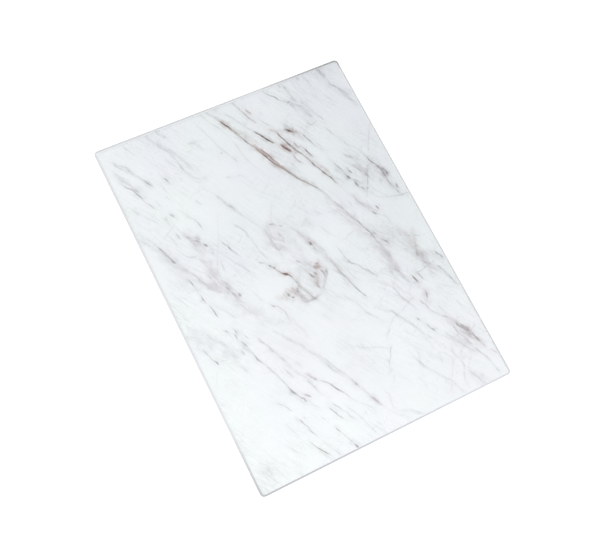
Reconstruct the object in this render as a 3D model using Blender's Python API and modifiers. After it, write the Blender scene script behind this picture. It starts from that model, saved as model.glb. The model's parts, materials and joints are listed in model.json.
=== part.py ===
"""Glass cutting board: a toughened glass pane, printed underneath, on four rubber feet.

Metres, +Z up. X runs across the board and Y along it. The origin is below the middle of the
board, on the surface that the feet stand on.
"""
import math

import bmesh
import bpy

# Glass pane
BOARD_WIDTH = 0.280
BOARD_LENGTH = 0.380
GLASS_THICKNESS = 0.004
CORNER_RADIUS = 0.0045
EDGE_LAND = 0.0004  # what the grinding leaves upright between the upper and the lower round

# Film and backing under the glass
PRINT_THICKNESS = 0.0001
BACKING_THICKNESS = 0.00015
PRINT_MARGIN = 0.0003  # from the start of the ground edge to the trimmed film
BACKING_SETBACK = 0.0002  # from the film's edge to the backing's edge
SMALLEST_CORNER = 0.0005  # the sharpest corner that a sheet is trimmed to

# Rubber feet and the adhesive discs above them
FOOT_HEIGHT = 0.0026
FOOT_TOP_DIAMETER = 0.012
FOOT_SOLE_DIAMETER = 0.010
FOOT_TOP_ROUND = 0.0003
FOOT_SOLE_ROUND = 0.0006
DISH_DIAMETER = 0.005
DISH_DEPTH = 0.0004
FOOT_INSET = 0.020  # from the board's side to the foot's centre
ADHESIVE_THICKNESS = 0.0003
ADHESIVE_SETBACK = 0.0004  # from the foot's rim to the disc's rim

# Thin line of glue between two bonded faces
GLUE_LINE = 0.00005

# Smoothness of round shapes
CORNER_SEGMENTS = 12
EDGE_RESOLUTION = 4
FOOT_SEGMENTS = 32
FILLET_SEGMENTS = 4
DISH_SEGMENTS = 3
MERGE_DISTANCE = 0.000001
SHARP_ANGLE = math.radians(40)

# The two rounds of the pencil-ground edge take up the rest of the glass
EDGE_RADIUS = (GLASS_THICKNESS - EDGE_LAND) / 2

# Heights of the stack, from the feet up
ADHESIVE_BOTTOM = FOOT_HEIGHT + GLUE_LINE
BACKING_BOTTOM = ADHESIVE_BOTTOM + ADHESIVE_THICKNESS + GLUE_LINE
PRINT_BOTTOM = BACKING_BOTTOM + BACKING_THICKNESS + GLUE_LINE
GLASS_BOTTOM = PRINT_BOTTOM + PRINT_THICKNESS + GLUE_LINE

# Insets of the sheets from the board's outline
PRINT_INSET = EDGE_RADIUS + PRINT_MARGIN
BACKING_INSET = PRINT_INSET + BACKING_SETBACK

FOOT_PLACES = {
    "front_left": (-1, -1),
    "front_right": (1, -1),
    "back_left": (-1, 1),
    "back_right": (1, 1),
}


def clear_scene():
    for old in list(bpy.data.objects):
        bpy.data.objects.remove(old, do_unlink=True)


def make_material(name, color, roughness, transmission=0.0, ior=1.5):
    material = bpy.data.materials.new(name)
    material.use_nodes = True
    shader = material.node_tree.nodes["Principled BSDF"]
    shader.inputs["Base Color"].default_value = (*color, 1.0)
    shader.inputs["Metallic"].default_value = 0.0
    shader.inputs["Roughness"].default_value = roughness
    shader.inputs["Transmission Weight"].default_value = transmission
    shader.inputs["IOR"].default_value = ior
    return material


def arc(center_x, center_y, radius, start, end, segments):
    """Points of a circular arc, in order from the start angle to the end angle."""
    points = []
    for step in range(segments + 1):
        angle = start + (end - start) * step / segments
        points.append((center_x + radius * math.cos(angle), center_y + radius * math.sin(angle)))
    return points


def rounded_rectangle(width, length, radius):
    """Outline of four quarter arcs, joined by the straight sides."""
    reach_x = width / 2 - radius
    reach_y = length / 2 - radius
    quarter = math.pi / 2
    outline = []
    for turn, (side_x, side_y) in enumerate(((1, 1), (-1, 1), (-1, -1), (1, -1))):
        start = turn * quarter
        end = start + quarter
        outline += arc(side_x * reach_x, side_y * reach_y, radius, start, end, CORNER_SEGMENTS)
    return outline


def plate(name, inset, bottom, thickness, material, edge_radius=0.0):
    """A flat sheet cut to the board's outline, drawn in by an inset on every side.

    With an edge radius, its rim is rounded above and below, inside the outline.
    """
    curve = bpy.data.curves.new(name, "CURVE")
    curve.dimensions = "2D"
    curve.fill_mode = "BOTH"
    curve.extrude = thickness / 2 - edge_radius
    curve.bevel_depth = edge_radius
    curve.bevel_resolution = EDGE_RESOLUTION
    curve.offset = -edge_radius

    corner = max(CORNER_RADIUS - inset, SMALLEST_CORNER)
    outline = rounded_rectangle(BOARD_WIDTH - 2 * inset, BOARD_LENGTH - 2 * inset, corner)
    spline = curve.splines.new("POLY")
    spline.points.add(len(outline) - 1)
    for point, (x, y) in zip(spline.points, outline):
        point.co = (x, y, 0.0, 1.0)
    spline.use_cyclic_u = True
    curve.materials.append(material)

    sheet = bpy.data.objects.new(name, curve)
    sheet.location = (0.0, 0.0, bottom + thickness / 2)
    weld = sheet.modifiers.new("Weld", "WELD")
    weld.merge_threshold = MERGE_DISTANCE
    return sheet


def foot_profile():
    """Half section of a foot, from the top's centre round to the middle of the dished sole."""
    quarter = math.pi / 2
    top = FOOT_TOP_DIAMETER / 2 - FOOT_TOP_ROUND
    shoulder = FOOT_HEIGHT - FOOT_TOP_ROUND
    sole = FOOT_SOLE_DIAMETER / 2 - FOOT_SOLE_ROUND
    top_round = arc(top, shoulder, FOOT_TOP_ROUND, quarter, 0, FILLET_SEGMENTS)
    sole_round = arc(sole, FOOT_SOLE_ROUND, FOOT_SOLE_ROUND, 0, -quarter, FILLET_SEGMENTS)

    dish = DISH_DIAMETER / 2
    dish_radius = (dish * dish + DISH_DEPTH * DISH_DEPTH) / (2 * DISH_DEPTH)
    dish_start = quarter - math.asin(dish / dish_radius)
    dish_middle = DISH_DEPTH - dish_radius
    dish_arc = arc(0.0, dish_middle, dish_radius, dish_start, quarter, DISH_SEGMENTS)
    dish_arc[0] = (dish, 0.0)
    dish_arc[-1] = (0.0, DISH_DEPTH)
    return [(0.0, FOOT_HEIGHT)] + top_round + sole_round + dish_arc


def foot_mesh():
    """The half section as a chain of edges, ready for the Screw modifier to turn."""
    shape = bmesh.new()
    chain = [shape.verts.new((x, 0.0, z)) for x, z in foot_profile()]
    for first, second in zip(chain, chain[1:]):
        shape.edges.new((first, second))
    mesh = bpy.data.meshes.new("foot")
    shape.to_mesh(mesh)
    shape.free()
    return mesh


def adhesive_mesh():
    """A thin round disc, with its lower face at zero height."""
    radius = FOOT_TOP_DIAMETER / 2 - ADHESIVE_SETBACK
    shape = bmesh.new()
    bmesh.ops.create_cone(
        shape,
        cap_ends=True,
        segments=FOOT_SEGMENTS,
        radius1=radius,
        radius2=radius,
        depth=ADHESIVE_THICKNESS,
    )
    bmesh.ops.translate(shape, verts=shape.verts, vec=(0.0, 0.0, ADHESIVE_THICKNESS / 2))
    mesh = bpy.data.meshes.new("adhesive")
    shape.to_mesh(mesh)
    shape.free()
    mesh.shade_smooth()
    mesh.set_sharp_from_angle(angle=SHARP_ANGLE)
    return mesh


def make_feet(rubber, adhesive, collection, parent):
    """Four feet near the corners, each with the adhesive disc that holds it."""
    foot_shape = foot_mesh()
    foot_shape.materials.append(rubber)
    disc_shape = adhesive_mesh()
    disc_shape.materials.append(adhesive)

    for place, (side_x, side_y) in FOOT_PLACES.items():
        foot = bpy.data.objects.new("foot_" + place, foot_shape)
        foot.location = (
            side_x * (BOARD_WIDTH / 2 - FOOT_INSET),
            side_y * (BOARD_LENGTH / 2 - FOOT_INSET),
            0.0,
        )
        foot.parent = parent
        collection.objects.link(foot)

        screw = foot.modifiers.new("Screw", "SCREW")
        screw.axis = "Z"
        screw.steps = FOOT_SEGMENTS
        screw.render_steps = FOOT_SEGMENTS
        screw.use_merge_vertices = True
        screw.merge_threshold = MERGE_DISTANCE
        screw.use_smooth_shade = True

        disc = bpy.data.objects.new("adhesive_" + place, disc_shape)
        disc.location = (0.0, 0.0, ADHESIVE_BOTTOM)
        disc.parent = foot
        collection.objects.link(disc)


def main():
    clear_scene()
    board = bpy.data.collections.new("glass_cutting_board")
    bpy.context.scene.collection.children.link(board)
    origin = bpy.data.objects.new("board_origin", None)
    board.objects.link(origin)

    glass = make_material("toughened_glass", (0.86, 0.93, 0.92), 0.02, 1.0, 1.52)
    print_film = make_material("marble_print", (0.84, 0.86, 0.88), 0.35)
    backing = make_material("white_backing", (0.88, 0.88, 0.87), 0.55)
    rubber = make_material("clear_rubber", (0.72, 0.73, 0.72), 0.45)
    adhesive = make_material("clear_adhesive", (0.80, 0.80, 0.76), 0.60)

    sheets = (
        plate("glass_pane", 0.0, GLASS_BOTTOM, GLASS_THICKNESS, glass, EDGE_RADIUS),
        plate("marble_print", PRINT_INSET, PRINT_BOTTOM, PRINT_THICKNESS, print_film),
        plate("white_backing", BACKING_INSET, BACKING_BOTTOM, BACKING_THICKNESS, backing),
    )
    for sheet in sheets:
        sheet.parent = origin
        board.objects.link(sheet)
    make_feet(rubber, adhesive, board, origin)


main()
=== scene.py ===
"""Glass cutting board: toughened glass over a marble print, on four rubber feet.

Laid out as a Blender add-on and run as a script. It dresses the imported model, which it loads as a
fixed frame. Metres, +Z up: X runs across the board and Y along it.
"""
import json

import bpy
import numpy as np
from bpy.props import FloatProperty, FloatVectorProperty, IntProperty, PointerProperty
from mathutils import Matrix, Vector
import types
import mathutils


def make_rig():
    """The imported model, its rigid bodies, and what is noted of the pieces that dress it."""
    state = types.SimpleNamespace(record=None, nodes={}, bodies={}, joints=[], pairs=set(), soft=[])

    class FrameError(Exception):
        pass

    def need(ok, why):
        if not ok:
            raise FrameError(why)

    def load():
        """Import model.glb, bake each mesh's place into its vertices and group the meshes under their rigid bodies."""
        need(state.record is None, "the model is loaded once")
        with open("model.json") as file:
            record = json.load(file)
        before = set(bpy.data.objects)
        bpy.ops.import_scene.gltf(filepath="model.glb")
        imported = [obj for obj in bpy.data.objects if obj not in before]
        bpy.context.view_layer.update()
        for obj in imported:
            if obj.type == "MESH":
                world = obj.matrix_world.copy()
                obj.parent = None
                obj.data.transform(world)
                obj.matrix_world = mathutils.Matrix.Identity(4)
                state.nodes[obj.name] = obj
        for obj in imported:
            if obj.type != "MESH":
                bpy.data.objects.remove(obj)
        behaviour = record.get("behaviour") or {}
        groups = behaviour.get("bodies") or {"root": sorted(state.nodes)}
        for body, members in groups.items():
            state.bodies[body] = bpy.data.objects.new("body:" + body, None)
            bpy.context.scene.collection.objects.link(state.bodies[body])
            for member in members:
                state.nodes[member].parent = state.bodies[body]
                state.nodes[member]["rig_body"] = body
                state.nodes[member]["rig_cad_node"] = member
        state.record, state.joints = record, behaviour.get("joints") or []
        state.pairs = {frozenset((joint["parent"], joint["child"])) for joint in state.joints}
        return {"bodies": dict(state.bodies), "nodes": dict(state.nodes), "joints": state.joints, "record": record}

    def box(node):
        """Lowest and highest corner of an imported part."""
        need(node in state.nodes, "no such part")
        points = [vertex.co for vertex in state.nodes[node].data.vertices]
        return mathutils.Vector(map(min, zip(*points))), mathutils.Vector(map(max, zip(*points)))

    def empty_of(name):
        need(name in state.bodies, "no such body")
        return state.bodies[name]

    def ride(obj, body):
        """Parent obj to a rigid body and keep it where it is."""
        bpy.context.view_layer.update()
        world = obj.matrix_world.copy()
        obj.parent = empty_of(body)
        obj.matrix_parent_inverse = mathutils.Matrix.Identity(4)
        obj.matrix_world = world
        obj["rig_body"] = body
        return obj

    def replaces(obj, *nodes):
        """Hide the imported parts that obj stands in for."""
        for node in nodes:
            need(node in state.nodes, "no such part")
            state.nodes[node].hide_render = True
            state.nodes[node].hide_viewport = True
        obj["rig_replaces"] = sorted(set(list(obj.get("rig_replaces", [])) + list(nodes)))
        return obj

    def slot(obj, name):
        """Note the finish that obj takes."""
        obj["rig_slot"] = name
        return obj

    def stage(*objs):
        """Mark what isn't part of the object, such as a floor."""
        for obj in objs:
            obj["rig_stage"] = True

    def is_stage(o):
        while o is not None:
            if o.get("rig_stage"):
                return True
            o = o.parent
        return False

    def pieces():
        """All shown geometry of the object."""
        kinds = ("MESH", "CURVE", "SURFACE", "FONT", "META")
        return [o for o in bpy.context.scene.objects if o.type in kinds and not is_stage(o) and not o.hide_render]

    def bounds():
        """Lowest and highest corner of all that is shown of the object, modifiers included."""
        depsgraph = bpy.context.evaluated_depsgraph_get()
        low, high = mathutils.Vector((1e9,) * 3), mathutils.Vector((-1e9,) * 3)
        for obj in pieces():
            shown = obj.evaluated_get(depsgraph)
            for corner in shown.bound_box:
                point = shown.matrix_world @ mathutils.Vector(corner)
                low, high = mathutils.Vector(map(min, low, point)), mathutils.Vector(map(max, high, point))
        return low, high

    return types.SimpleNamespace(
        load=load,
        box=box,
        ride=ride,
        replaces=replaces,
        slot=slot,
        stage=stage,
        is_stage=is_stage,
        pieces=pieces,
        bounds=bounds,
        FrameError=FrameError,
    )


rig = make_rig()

bl_info = {
    "name": "Glass Cutting Board",
    "version": (1, 0, 0),
    "blender": (4, 5, 0),
    "location": "View3D > Sidebar > Board",
    "description": "Dresses a glass cutting board with its marble print, its feet and a plain studio",
    "category": "Object",
}

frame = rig.load()
cad_low, cad_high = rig.bounds()

BODY = "root"
MM = 0.001
PLACES = ("front_left", "front_right", "back_left", "back_right")
SIZE_FILE = "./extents.json"


def hex_colour(text):
    """Linear red, green and blue of an sRGB hex colour such as "#DFE4E8"."""
    srgb = np.array([int(text[start:start + 2], 16) for start in (1, 3, 5)]) / 255
    linear = np.where(srgb <= 0.04045, srgb / 12.92, ((srgb + 0.055) / 1.055) ** 2.4)
    return tuple(float(value) for value in linear)


# The veins of the marble, drawn over the board. Each has a tone, its width in mm, and
# the points that it runs through: x and y in mm from the board's middle, and the ink there in
# tenths.
VEINS = (
    # Back left
    ("slate", 3.2, ((-128, 175, 3), (-126, 171, 5), (-123, 167, 5), (-120, 165, 5), (-117, 162, 5),
                    (-115, 157, 5), (-109, 146, 4), (-106, 142, 5), (-104, 139, 6), (-102, 136, 5),
                    (-101, 132, 3))),
    ("slate", 1.2, ((-108, 146, 4), (-106, 142, 6), (-104, 138, 8), (-102, 134, 4))),
    ("slate", 2.0, ((-129, 172, 3), (-125, 167, 4), (-121, 162, 4), (-118, 157, 3), (-114, 152, 1))),
    ("slate", 3.4, ((-132, 168, 2), (-129, 160, 3), (-127, 153, 4), (-123, 147, 4), (-120, 141, 5),
                    (-118, 136, 5), (-117, 130, 3))),
    ("umber", 1.2, ((-128, 147, 6), (-126, 143, 7), (-124, 141, 9), (-121, 137, 7), (-119, 132, 9),
                    (-117, 128, 9), (-116, 124, 5), (-114, 119, 4), (-112, 116, 7), (-110, 111, 6),
                    (-110, 108, 2))),
    ("slate", 3.6, ((-86, 189, 5), (-84, 184, 5), (-82, 179, 4), (-79, 175, 3), (-71, 166, 3),
                    (-65, 156, 4), (-61, 146, 4), (-59, 140, 4), (-57, 134, 3))),
    ("ash", 1.8, ((-78, 172, 3), (-73, 165, 4), (-70, 158, 4), (-67, 146, 5), (-66, 140, 5),
                  (-64, 134, 4), (-60, 127, 3), (-56, 124, 3), (-50, 122, 3), (-44, 121, 2))),
    ("ash", 1.4, ((-62, 131, 3), (-59, 120, 2), (-52, 105, 2))),
    ("slate", 1.4, ((-88, 139, 7), (-86, 135, 10), (-85, 131, 6), (-83, 126, 3))),
    ("ash", 1.0, ((-93, 131, 5), (-92, 127, 4), (-90, 120, 2))),
    ("sage", 3.2, ((-75, 189, 5), (-73, 186, 5), (-70, 181, 4), (-68, 179, 5), (-65, 175, 3))),
    ("ash", 1.5, ((-111, 188, 3), (-109, 182, 4), (-106, 176, 3), (-102, 170, 2))),
    ("ash", 1.6, ((-124, 109, 2), (-118, 102, 3), (-113, 96, 3))),
    ("ash", 2.0, ((-106, 121, 2), (-104, 114, 3), (-102, 109, 3))),
    ("ash", 1.5, ((-96, 121, 2), (-92, 115, 3), (-91, 111, 3))),
    ("slate", 2.4, ((-100, 101, 4), (-97, 98, 8), (-95, 94, 5))),
    ("slate", 2.0, ((-105, 100, 4), (-103, 94, 4))),
    ("sage", 1.6, ((-80, 119, 3), (-73, 110, 3))),
    ("mauve", 1.6, ((-70, 106, 2), (-67, 100, 4), (-63, 95, 2))),
    # Back middle
    ("slate", 2.6, ((-19, 189, 3), (-16, 185, 5), (-13, 181, 5), (-10, 177, 5), (-7, 171, 6))),
    ("brick", 1.6, ((-9, 175, 6), (-7, 171, 9), (-5, 167, 12), (-3, 164, 13), (-2, 161, 9), (0, 157, 3))),
    ("bark", 2.6, ((-8, 174, 4), (-5, 168, 6), (-2, 162, 7), (1, 156, 6), (4, 149, 5), (6, 144, 3))),
    ("bark", 1.8, ((-1, 159, 4), (1, 154, 4), (4, 148, 5), (6, 144, 11), (7, 141, 9), (10, 136, 8),
                   (13, 131, 6))),
    ("rust", 4.2, ((10, 138, 4), (14, 130, 7), (17, 124, 9), (20, 118, 10), (22, 113, 10),
                   (25, 107, 8), (28, 101, 6), (32, 95, 4))),
    ("rust", 2.6, ((26, 105, 5), (30, 98, 7), (34, 91, 4), (39, 83, 6), (44, 76, 5), (49, 70, 3))),
    ("brick", 1.0, ((11, 134, 5), (14, 127, 9), (17, 120, 11), (20, 114, 12), (22, 109, 10), (25, 103, 6))),
    ("bark", 1.3, ((22, 112, 5), (24, 107, 8), (26, 103, 9), (29, 98, 8), (32, 93, 7), (35, 88, 7),
                   (38, 83, 9), (42, 78, 11), (46, 73, 9), (49, 69, 9), (54, 63, 4))),
    ("mauve", 3.0, ((49, 70, 3), (54, 62, 4), (57, 54, 3), (60, 46, 3), (64, 36, 3))),
    ("bark", 2.4, ((27, 104, 3), (30, 98, 5), (34, 91, 5), (38, 84, 4), (43, 77, 3), (48, 71, 2))),
    ("brick", 1.0, ((16, 130, 4), (19, 124, 8), (22, 118, 10), (24, 112, 9), (27, 106, 5))),
    ("slate", 1.9, ((-2, 180, 3), (2, 176, 4), (6, 171, 4), (12, 160, 4), (15, 155, 4), (18, 151, 5))),
    ("soot", 1.6, ((18, 151, 3), (20, 148, 7), (22, 145, 12), (24, 142, 15), (27, 137, 15),
                   (29, 134, 14), (32, 130, 9), (35, 127, 4))),
    ("umber", 2.1, ((12, 189, 6), (14, 184, 5), (16, 179, 5), (18, 174, 5), (20, 169, 6),
                    (21, 166, 8), (24, 160, 6), (27, 154, 3))),
    ("rust", 2.0, ((22, 177, 4), (23, 173, 8), (25, 169, 8), (26, 166, 4))),
    ("ash", 1.6, ((27, 172, 1), (30, 162, 2), (32, 157, 4), (34, 153, 4), (37, 149, 4), (38, 146, 2))),
    ("ash", 1.4, ((34, 168, 3), (37, 161, 3))),
    ("ash", 1.4, ((41, 184, 2), (43, 178, 3), (45, 173, 4))),
    ("rust", 2.8, ((34, 146, 6), (36, 143, 7), (39, 141, 6), (42, 137, 7))),
    ("soot", 1.6, ((41, 140, 7), (42, 134, 9), (44, 129, 9), (46, 123, 10), (48, 118, 9),
                    (50, 113, 10), (52, 110, 8), (55, 105, 7), (57, 100, 7), (59, 95, 8),
                    (60, 91, 9), (62, 87, 9), (64, 83, 8), (66, 78, 9), (68, 74, 7), (70, 71, 8),
                    (71, 67, 7), (72, 64, 5), (75, 60, 2))),
    ("mist", 2.4, ((70, 66, 3), (73, 61, 4), (76, 55, 3), (79, 48, 3))),
    ("brick", 3.0, ((38, 126, 9), (40, 122, 15), (42, 119, 16), (44, 115, 16), (46, 112, 11))),
    ("ash", 1.3, ((34, 143, 3), (32, 138, 4))),
    ("soot", 1.5, ((45, 111, 3), (46, 105, 5), (47, 101, 6), (50, 97, 6))),
    ("slate", 2.5, ((38, 103, 3), (42, 97, 4))),
    ("ash", 1.4, ((-36, 189, 2), (-33, 180, 2), (-29, 170, 3), (-24, 155, 3), (-19, 140, 3),
                  (-15, 133, 3), (-12, 127, 4), (-10, 122, 3))),
    ("slate", 1.6, ((-24, 189, 4), (-21, 182, 4), (-19, 177, 3), (-13, 167, 4), (-10, 161, 3),
                    (-7, 152, 2), (-4, 139, 3), (-2, 127, 3), (0, 119, 2), (3, 113, 2), (6, 108, 2))),
    ("slate", 3.6, ((-50, 164, 4), (-47, 162, 5), (-43, 160, 4), (-39, 153, 3), (-35, 149, 2))),
    ("ash", 1.2, ((-45, 162, 2), (-35, 161, 2), (-28, 160, 1))),
    ("ash", 1.4, ((-31, 115, 2), (-28, 113, 4), (-24, 113, 3))),
    ("slate", 1.8, ((-23, 142, 4), (-22, 140, 7), (-21, 138, 4))),
    ("sage", 1.5, ((-21, 111, 2), (-16, 110, 3), (-12, 108, 2), (-9, 105, 3))),
    # Back right
    ("slate", 1.8, ((47, 189, 4), (50, 184, 5), (53, 180, 6), (55, 178, 9), (58, 175, 9),
                    (60, 171, 6), (65, 167, 5), (67, 165, 6), (70, 165, 5), (72, 161, 3))),
    ("slate", 1.5, ((67, 166, 5), (69, 161, 5), (71, 155, 4), (73, 149, 3))),
    ("slate", 2.0, ((70, 165, 5), (73, 160, 4), (77, 157, 4), (81, 155, 3))),
    ("slate", 1.6, ((80, 164, 3), (81, 162, 5), (82, 158, 5), (84, 154, 4), (86, 149, 4),
                    (88, 145, 3), (90, 140, 4), (92, 136, 5), (94, 130, 3))),
    ("sage", 3.0, ((70, 188, 4), (72, 182, 5), (73, 176, 5), (74, 170, 4), (75, 164, 4),
                   (77, 157, 3), (79, 151, 3), (81, 146, 4), (83, 141, 5), (84, 137, 4))),
    ("sage", 1.8, ((66, 189, 5), (67, 185, 4), (70, 182, 5))),
    ("mist", 3.0, ((88, 189, 8), (90, 185, 8), (91, 182, 3))),
    ("ash", 3.2, ((96, 189, 3), (97, 184, 3), (99, 178, 3), (99, 169, 2))),
    ("mist", 4.2, ((114, 189, 9), (116, 183, 9), (117, 179, 9), (118, 174, 6))),
    ("mist", 1.8, ((107, 186, 3), (111, 184, 5), (114, 182, 4))),
    ("slate", 2.8, ((119, 172, 2), (120, 166, 4), (123, 163, 5), (125, 159, 4), (128, 154, 3),
                    (130, 149, 4), (131, 145, 5), (133, 140, 4), (136, 135, 3), (138, 131, 2))),
    ("mist", 1.6, ((129, 155, 3), (134, 147, 3))),
    ("mist", 1.6, ((129, 148, 4), (132, 137, 4), (134, 130, 2))),
    ("soot", 2.2, ((50, 139, 6), (53, 136, 14), (55, 134, 13), (58, 131, 7))),
    ("ash", 1.4, ((50, 148, 3), (53, 142, 4), (56, 138, 4))),
    ("soot", 1.5, ((58, 134, 6), (61, 129, 4), (62, 124, 3), (64, 118, 3))),
    ("rust", 2.0, ((60, 138, 7), (58, 135, 11), (56, 132, 7))),
    ("umber", 2.0, ((64, 128, 4), (66, 124, 8), (67, 121, 6), (69, 116, 8), (70, 112, 4),
                    (73, 107, 3), (76, 103, 3), (79, 99, 2))),
    ("mauve", 1.4, ((72, 129, 4), (74, 134, 4))),
    ("soot", 2.0, ((52, 123, 5), (53, 118, 6), (54, 111, 3))),
    ("soot", 1.4, ((58, 114, 6), (60, 109, 10), (61, 105, 11), (63, 100, 7), (64, 96, 3))),
    ("ash", 1.2, ((73, 114, 3), (76, 108, 4), (79, 101, 3))),
    ("ash", 1.2, ((76, 140, 3), (77, 134, 4), (79, 132, 4), (82, 133, 4), (85, 134, 5), (89, 134, 3))),
    ("ash", 1.8, ((91, 125, 3), (93, 119, 4), (94, 116, 4), (96, 112, 3), (98, 108, 2), (101, 103, 4),
                  (103, 98, 4), (105, 94, 3))),
    ("ash", 1.1, ((138, 112, 2), (133, 103, 3), (129, 96, 3), (124, 88, 3), (119, 78, 2))),
    # Middle left, back
    ("slate", 1.8, ((-131, 88, 3), (-128, 82, 4), (-125, 76, 4), (-123, 71, 7), (-121, 67, 5),
                    (-119, 61, 6), (-118, 57, 7), (-116, 53, 12), (-114, 49, 3))),
    ("mauve", 4.6, ((-124, 72, 2), (-118, 57, 4), (-113, 47, 4), (-108, 38, 4), (-102, 28, 4),
                    (-97, 18, 4), (-91, 10, 4), (-86, 4, 3))),
    ("slate", 1.4, ((-111, 44, 2), (-106, 36, 3), (-103, 31, 4), (-101, 25, 4), (-98, 19, 4),
                    (-96, 16, 5), (-93, 14, 3))),
    ("slate", 3.2, ((-138, 90, 3), (-134, 83, 4), (-130, 76, 3), (-124, 66, 2))),
    ("umber", 1.1, ((-112, 37, 2), (-111, 31, 4), (-110, 27, 12), (-109, 22, 4), (-108, 16, 3),
                    (-107, 11, 4), (-107, 7, 12), (-106, 3, 4), (-105, -1, 2))),
    ("bark", 1.6, ((-97, 77, 2), (-94, 73, 3), (-92, 70, 5), (-90, 67, 3), (-88, 65, 4), (-85, 63, 6),
                   (-83, 60, 4))),
    ("soot", 2.2, ((-83, 59, 3), (-80, 56, 7), (-78, 53, 3))),
    ("sage", 1.6, ((-78, 53, 3), (-76, 49, 4), (-74, 46, 3))),
    ("sage", 1.6, ((-78, 48, 3), (-77, 46, 7), (-76, 44, 3))),
    ("mist", 1.6, ((-94, 74, 5), (-92, 68, 8), (-90, 63, 6), (-90, 59, 5))),
    ("mauve", 2.4, ((-73, 39, 2), (-74, 30, 3), (-75, 21, 3))),
    ("umber", 1.5, ((-82, 11, 3), (-80, 7, 7), (-79, 3, 5), (-77, -2, 7), (-76, -6, 5))),
    ("umber", 2.0, ((-73, -1, 4), (-72, -4, 10), (-71, -7, 4))),
    ("slate", 1.4, ((-93, 28, 4), (-91, 24, 5), (-90, 20, 3))),
    ("slate", 1.3, ((-102, 80, 5), (-101, 76, 7), (-100, 71, 4))),
    ("slate", 1.2, ((-109, 80, 4), (-107, 73, 5), (-106, 65, 4))),
    ("ash", 1.4, ((-107, 60, 2), (-102, 53, 3), (-97, 50, 5), (-92, 49, 3))),
    ("ash", 1.3, ((-104, 96, 4), (-103, 88, 3))),
    ("sage", 2.0, ((-85, 95, 4), (-82, 89, 4), (-79, 85, 4), (-77, 81, 6), (-76, 77, 5), (-75, 70, 2))),
    ("slate", 1.4, ((-65, 55, 4), (-63, 50, 7), (-61, 47, 8), (-60, 44, 12), (-59, 41, 9), (-57, 38, 5),
                    (-55, 34, 5), (-53, 32, 3))),
    ("ash", 1.2, ((-49, 31, 3), (-45, 26, 3))),
    ("ash", 1.1, ((-55, 80, 2), (-60, 70, 2), (-64, 60, 2), (-68, 52, 3), (-73, 44, 3), (-78, 34, 3),
                  (-83, 24, 2))),
    ("ash", 1.1, ((-51, 45, 3), (-46, 47, 3), (-44, 51, 2))),
    ("ash", 1.4, ((-62, 30, 2), (-57, 22, 4), (-53, 15, 5), (-51, 11, 3))),
    ("ash", 1.3, ((-68, 18, 4), (-67, 14, 3))),
    ("ash", 1.1, ((-70, 41, 2), (-65, 34, 3), (-60, 26, 2))),
    # Middle, back
    ("slate", 3.4, ((-49, 101, 5), (-47, 98, 5), (-44, 92, 4), (-41, 87, 4), (-38, 82, 6), (-36, 77, 5),
                    (-34, 72, 4), (-31, 67, 3), (-28, 62, 3), (-25, 57, 3), (-23, 53, 3), (-21, 49, 3),
                    (-19, 44, 4), (-18, 40, 4))),
    ("sage", 1.6, ((-45, 94, 3), (-42, 86, 4), (-39, 80, 3))),
    ("mauve", 4.0, ((-19, 45, 2), (-18, 37, 4), (-18, 29, 4), (-16, 23, 5), (-15, 18, 2))),
    ("mauve", 2.2, ((-9, 41, 2), (-7, 36, 5), (-6, 32, 5), (-7, 28, 3), (-6, 23, 4))),
    ("rust", 2.4, ((-17, 21, 5), (-13, 23, 4), (-9, 25, 3))),
    ("umber", 1.8, ((-14, 50, 4), (-11, 50, 8), (-8, 49, 6), (-5, 47, 3))),
    ("mauve", 1.6, ((-5, 46, 4), (-2, 44, 6), (1, 43, 4))),
    ("mauve", 2.4, ((4, 41, 2), (8, 36, 4), (11, 31, 5), (13, 25, 4), (15, 20, 4), (17, 15, 4),
                    (18, 9, 4), (21, 2, 3))),
    ("soot", 2.6, ((16, 18, 6), (17, 15, 10), (18, 12, 6))),
    ("mauve", 1.6, ((15, 22, 2), (20, 13, 4), (23, 9, 4), (26, 4, 4), (28, 0, 4))),
    ("ash", 1.8, ((8, 50, 2), (13, 49, 3), (14, 45, 2))),
    ("sage", 2.4, ((-46, 66, 4), (-43, 62, 5), (-40, 58, 5), (-38, 53, 5), (-37, 46, 4), (-35, 38, 4),
                   (-34, 30, 4), (-32, 24, 4), (-30, 17, 3))),
    ("sage", 2.6, ((-40, 38, 2), (-37, 28, 2))),
    ("umber", 1.2, ((-41, 19, 6), (-38, 17, 7), (-35, 15, 5))),
    ("bark", 1.5, ((-33, 13, 4), (-30, 9, 7), (-28, 6, 5), (-26, 2, 7), (-23, -2, 9),
                   (-20, -4, 10), (-18, -6, 10), (-16, -10, 8), (-15, -15, 6), (-14, -20, 5),
                   (-11, -26, 5), (-9, -30, 6), (-8, -33, 5), (-6, -37, 8), (-3, -41, 8))),
    ("brick", 2.8, ((-24, -1, 5), (-22, -3, 10), (-20, -4, 12), (-18, -7, 7))),
    ("umber", 1.6, ((-32, 12, 6), (-31, 10, 13), (-30, 9, 6))),
    ("umber", 1.5, ((-30, 8, 5), (-28, 7, 12), (-28, 5, 6))),
    ("slate", 1.8, ((-6, 7, 4), (-4, 4, 6), (-2, 2, 7), (-1, -1, 5))),
    ("ash", 1.2, ((35, 27, 3), (37, 22, 4), (39, 18, 4), (42, 14, 2), (46, 9, 2))),
    ("ash", 1.6, ((38, 46, 4), (40, 41, 4), (45, 37, 3))),
    ("ash", 1.1, ((1, 70, 2), (-4, 62, 3), (-8, 55, 3), (-10, 50, 2))),
    # Middle right, back
    ("umber", 1.3, ((69, 85, 4), (70, 80, 4), (71, 75, 3), (74, 68, 3))),
    ("ash", 1.2, ((73, 73, 3), (76, 67, 3), (79, 62, 3), (81, 56, 2))),
    ("slate", 1.8, ((77, 96, 2), (79, 89, 3), (80, 86, 4), (81, 82, 6), (83, 78, 8), (84, 75, 5),
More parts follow.
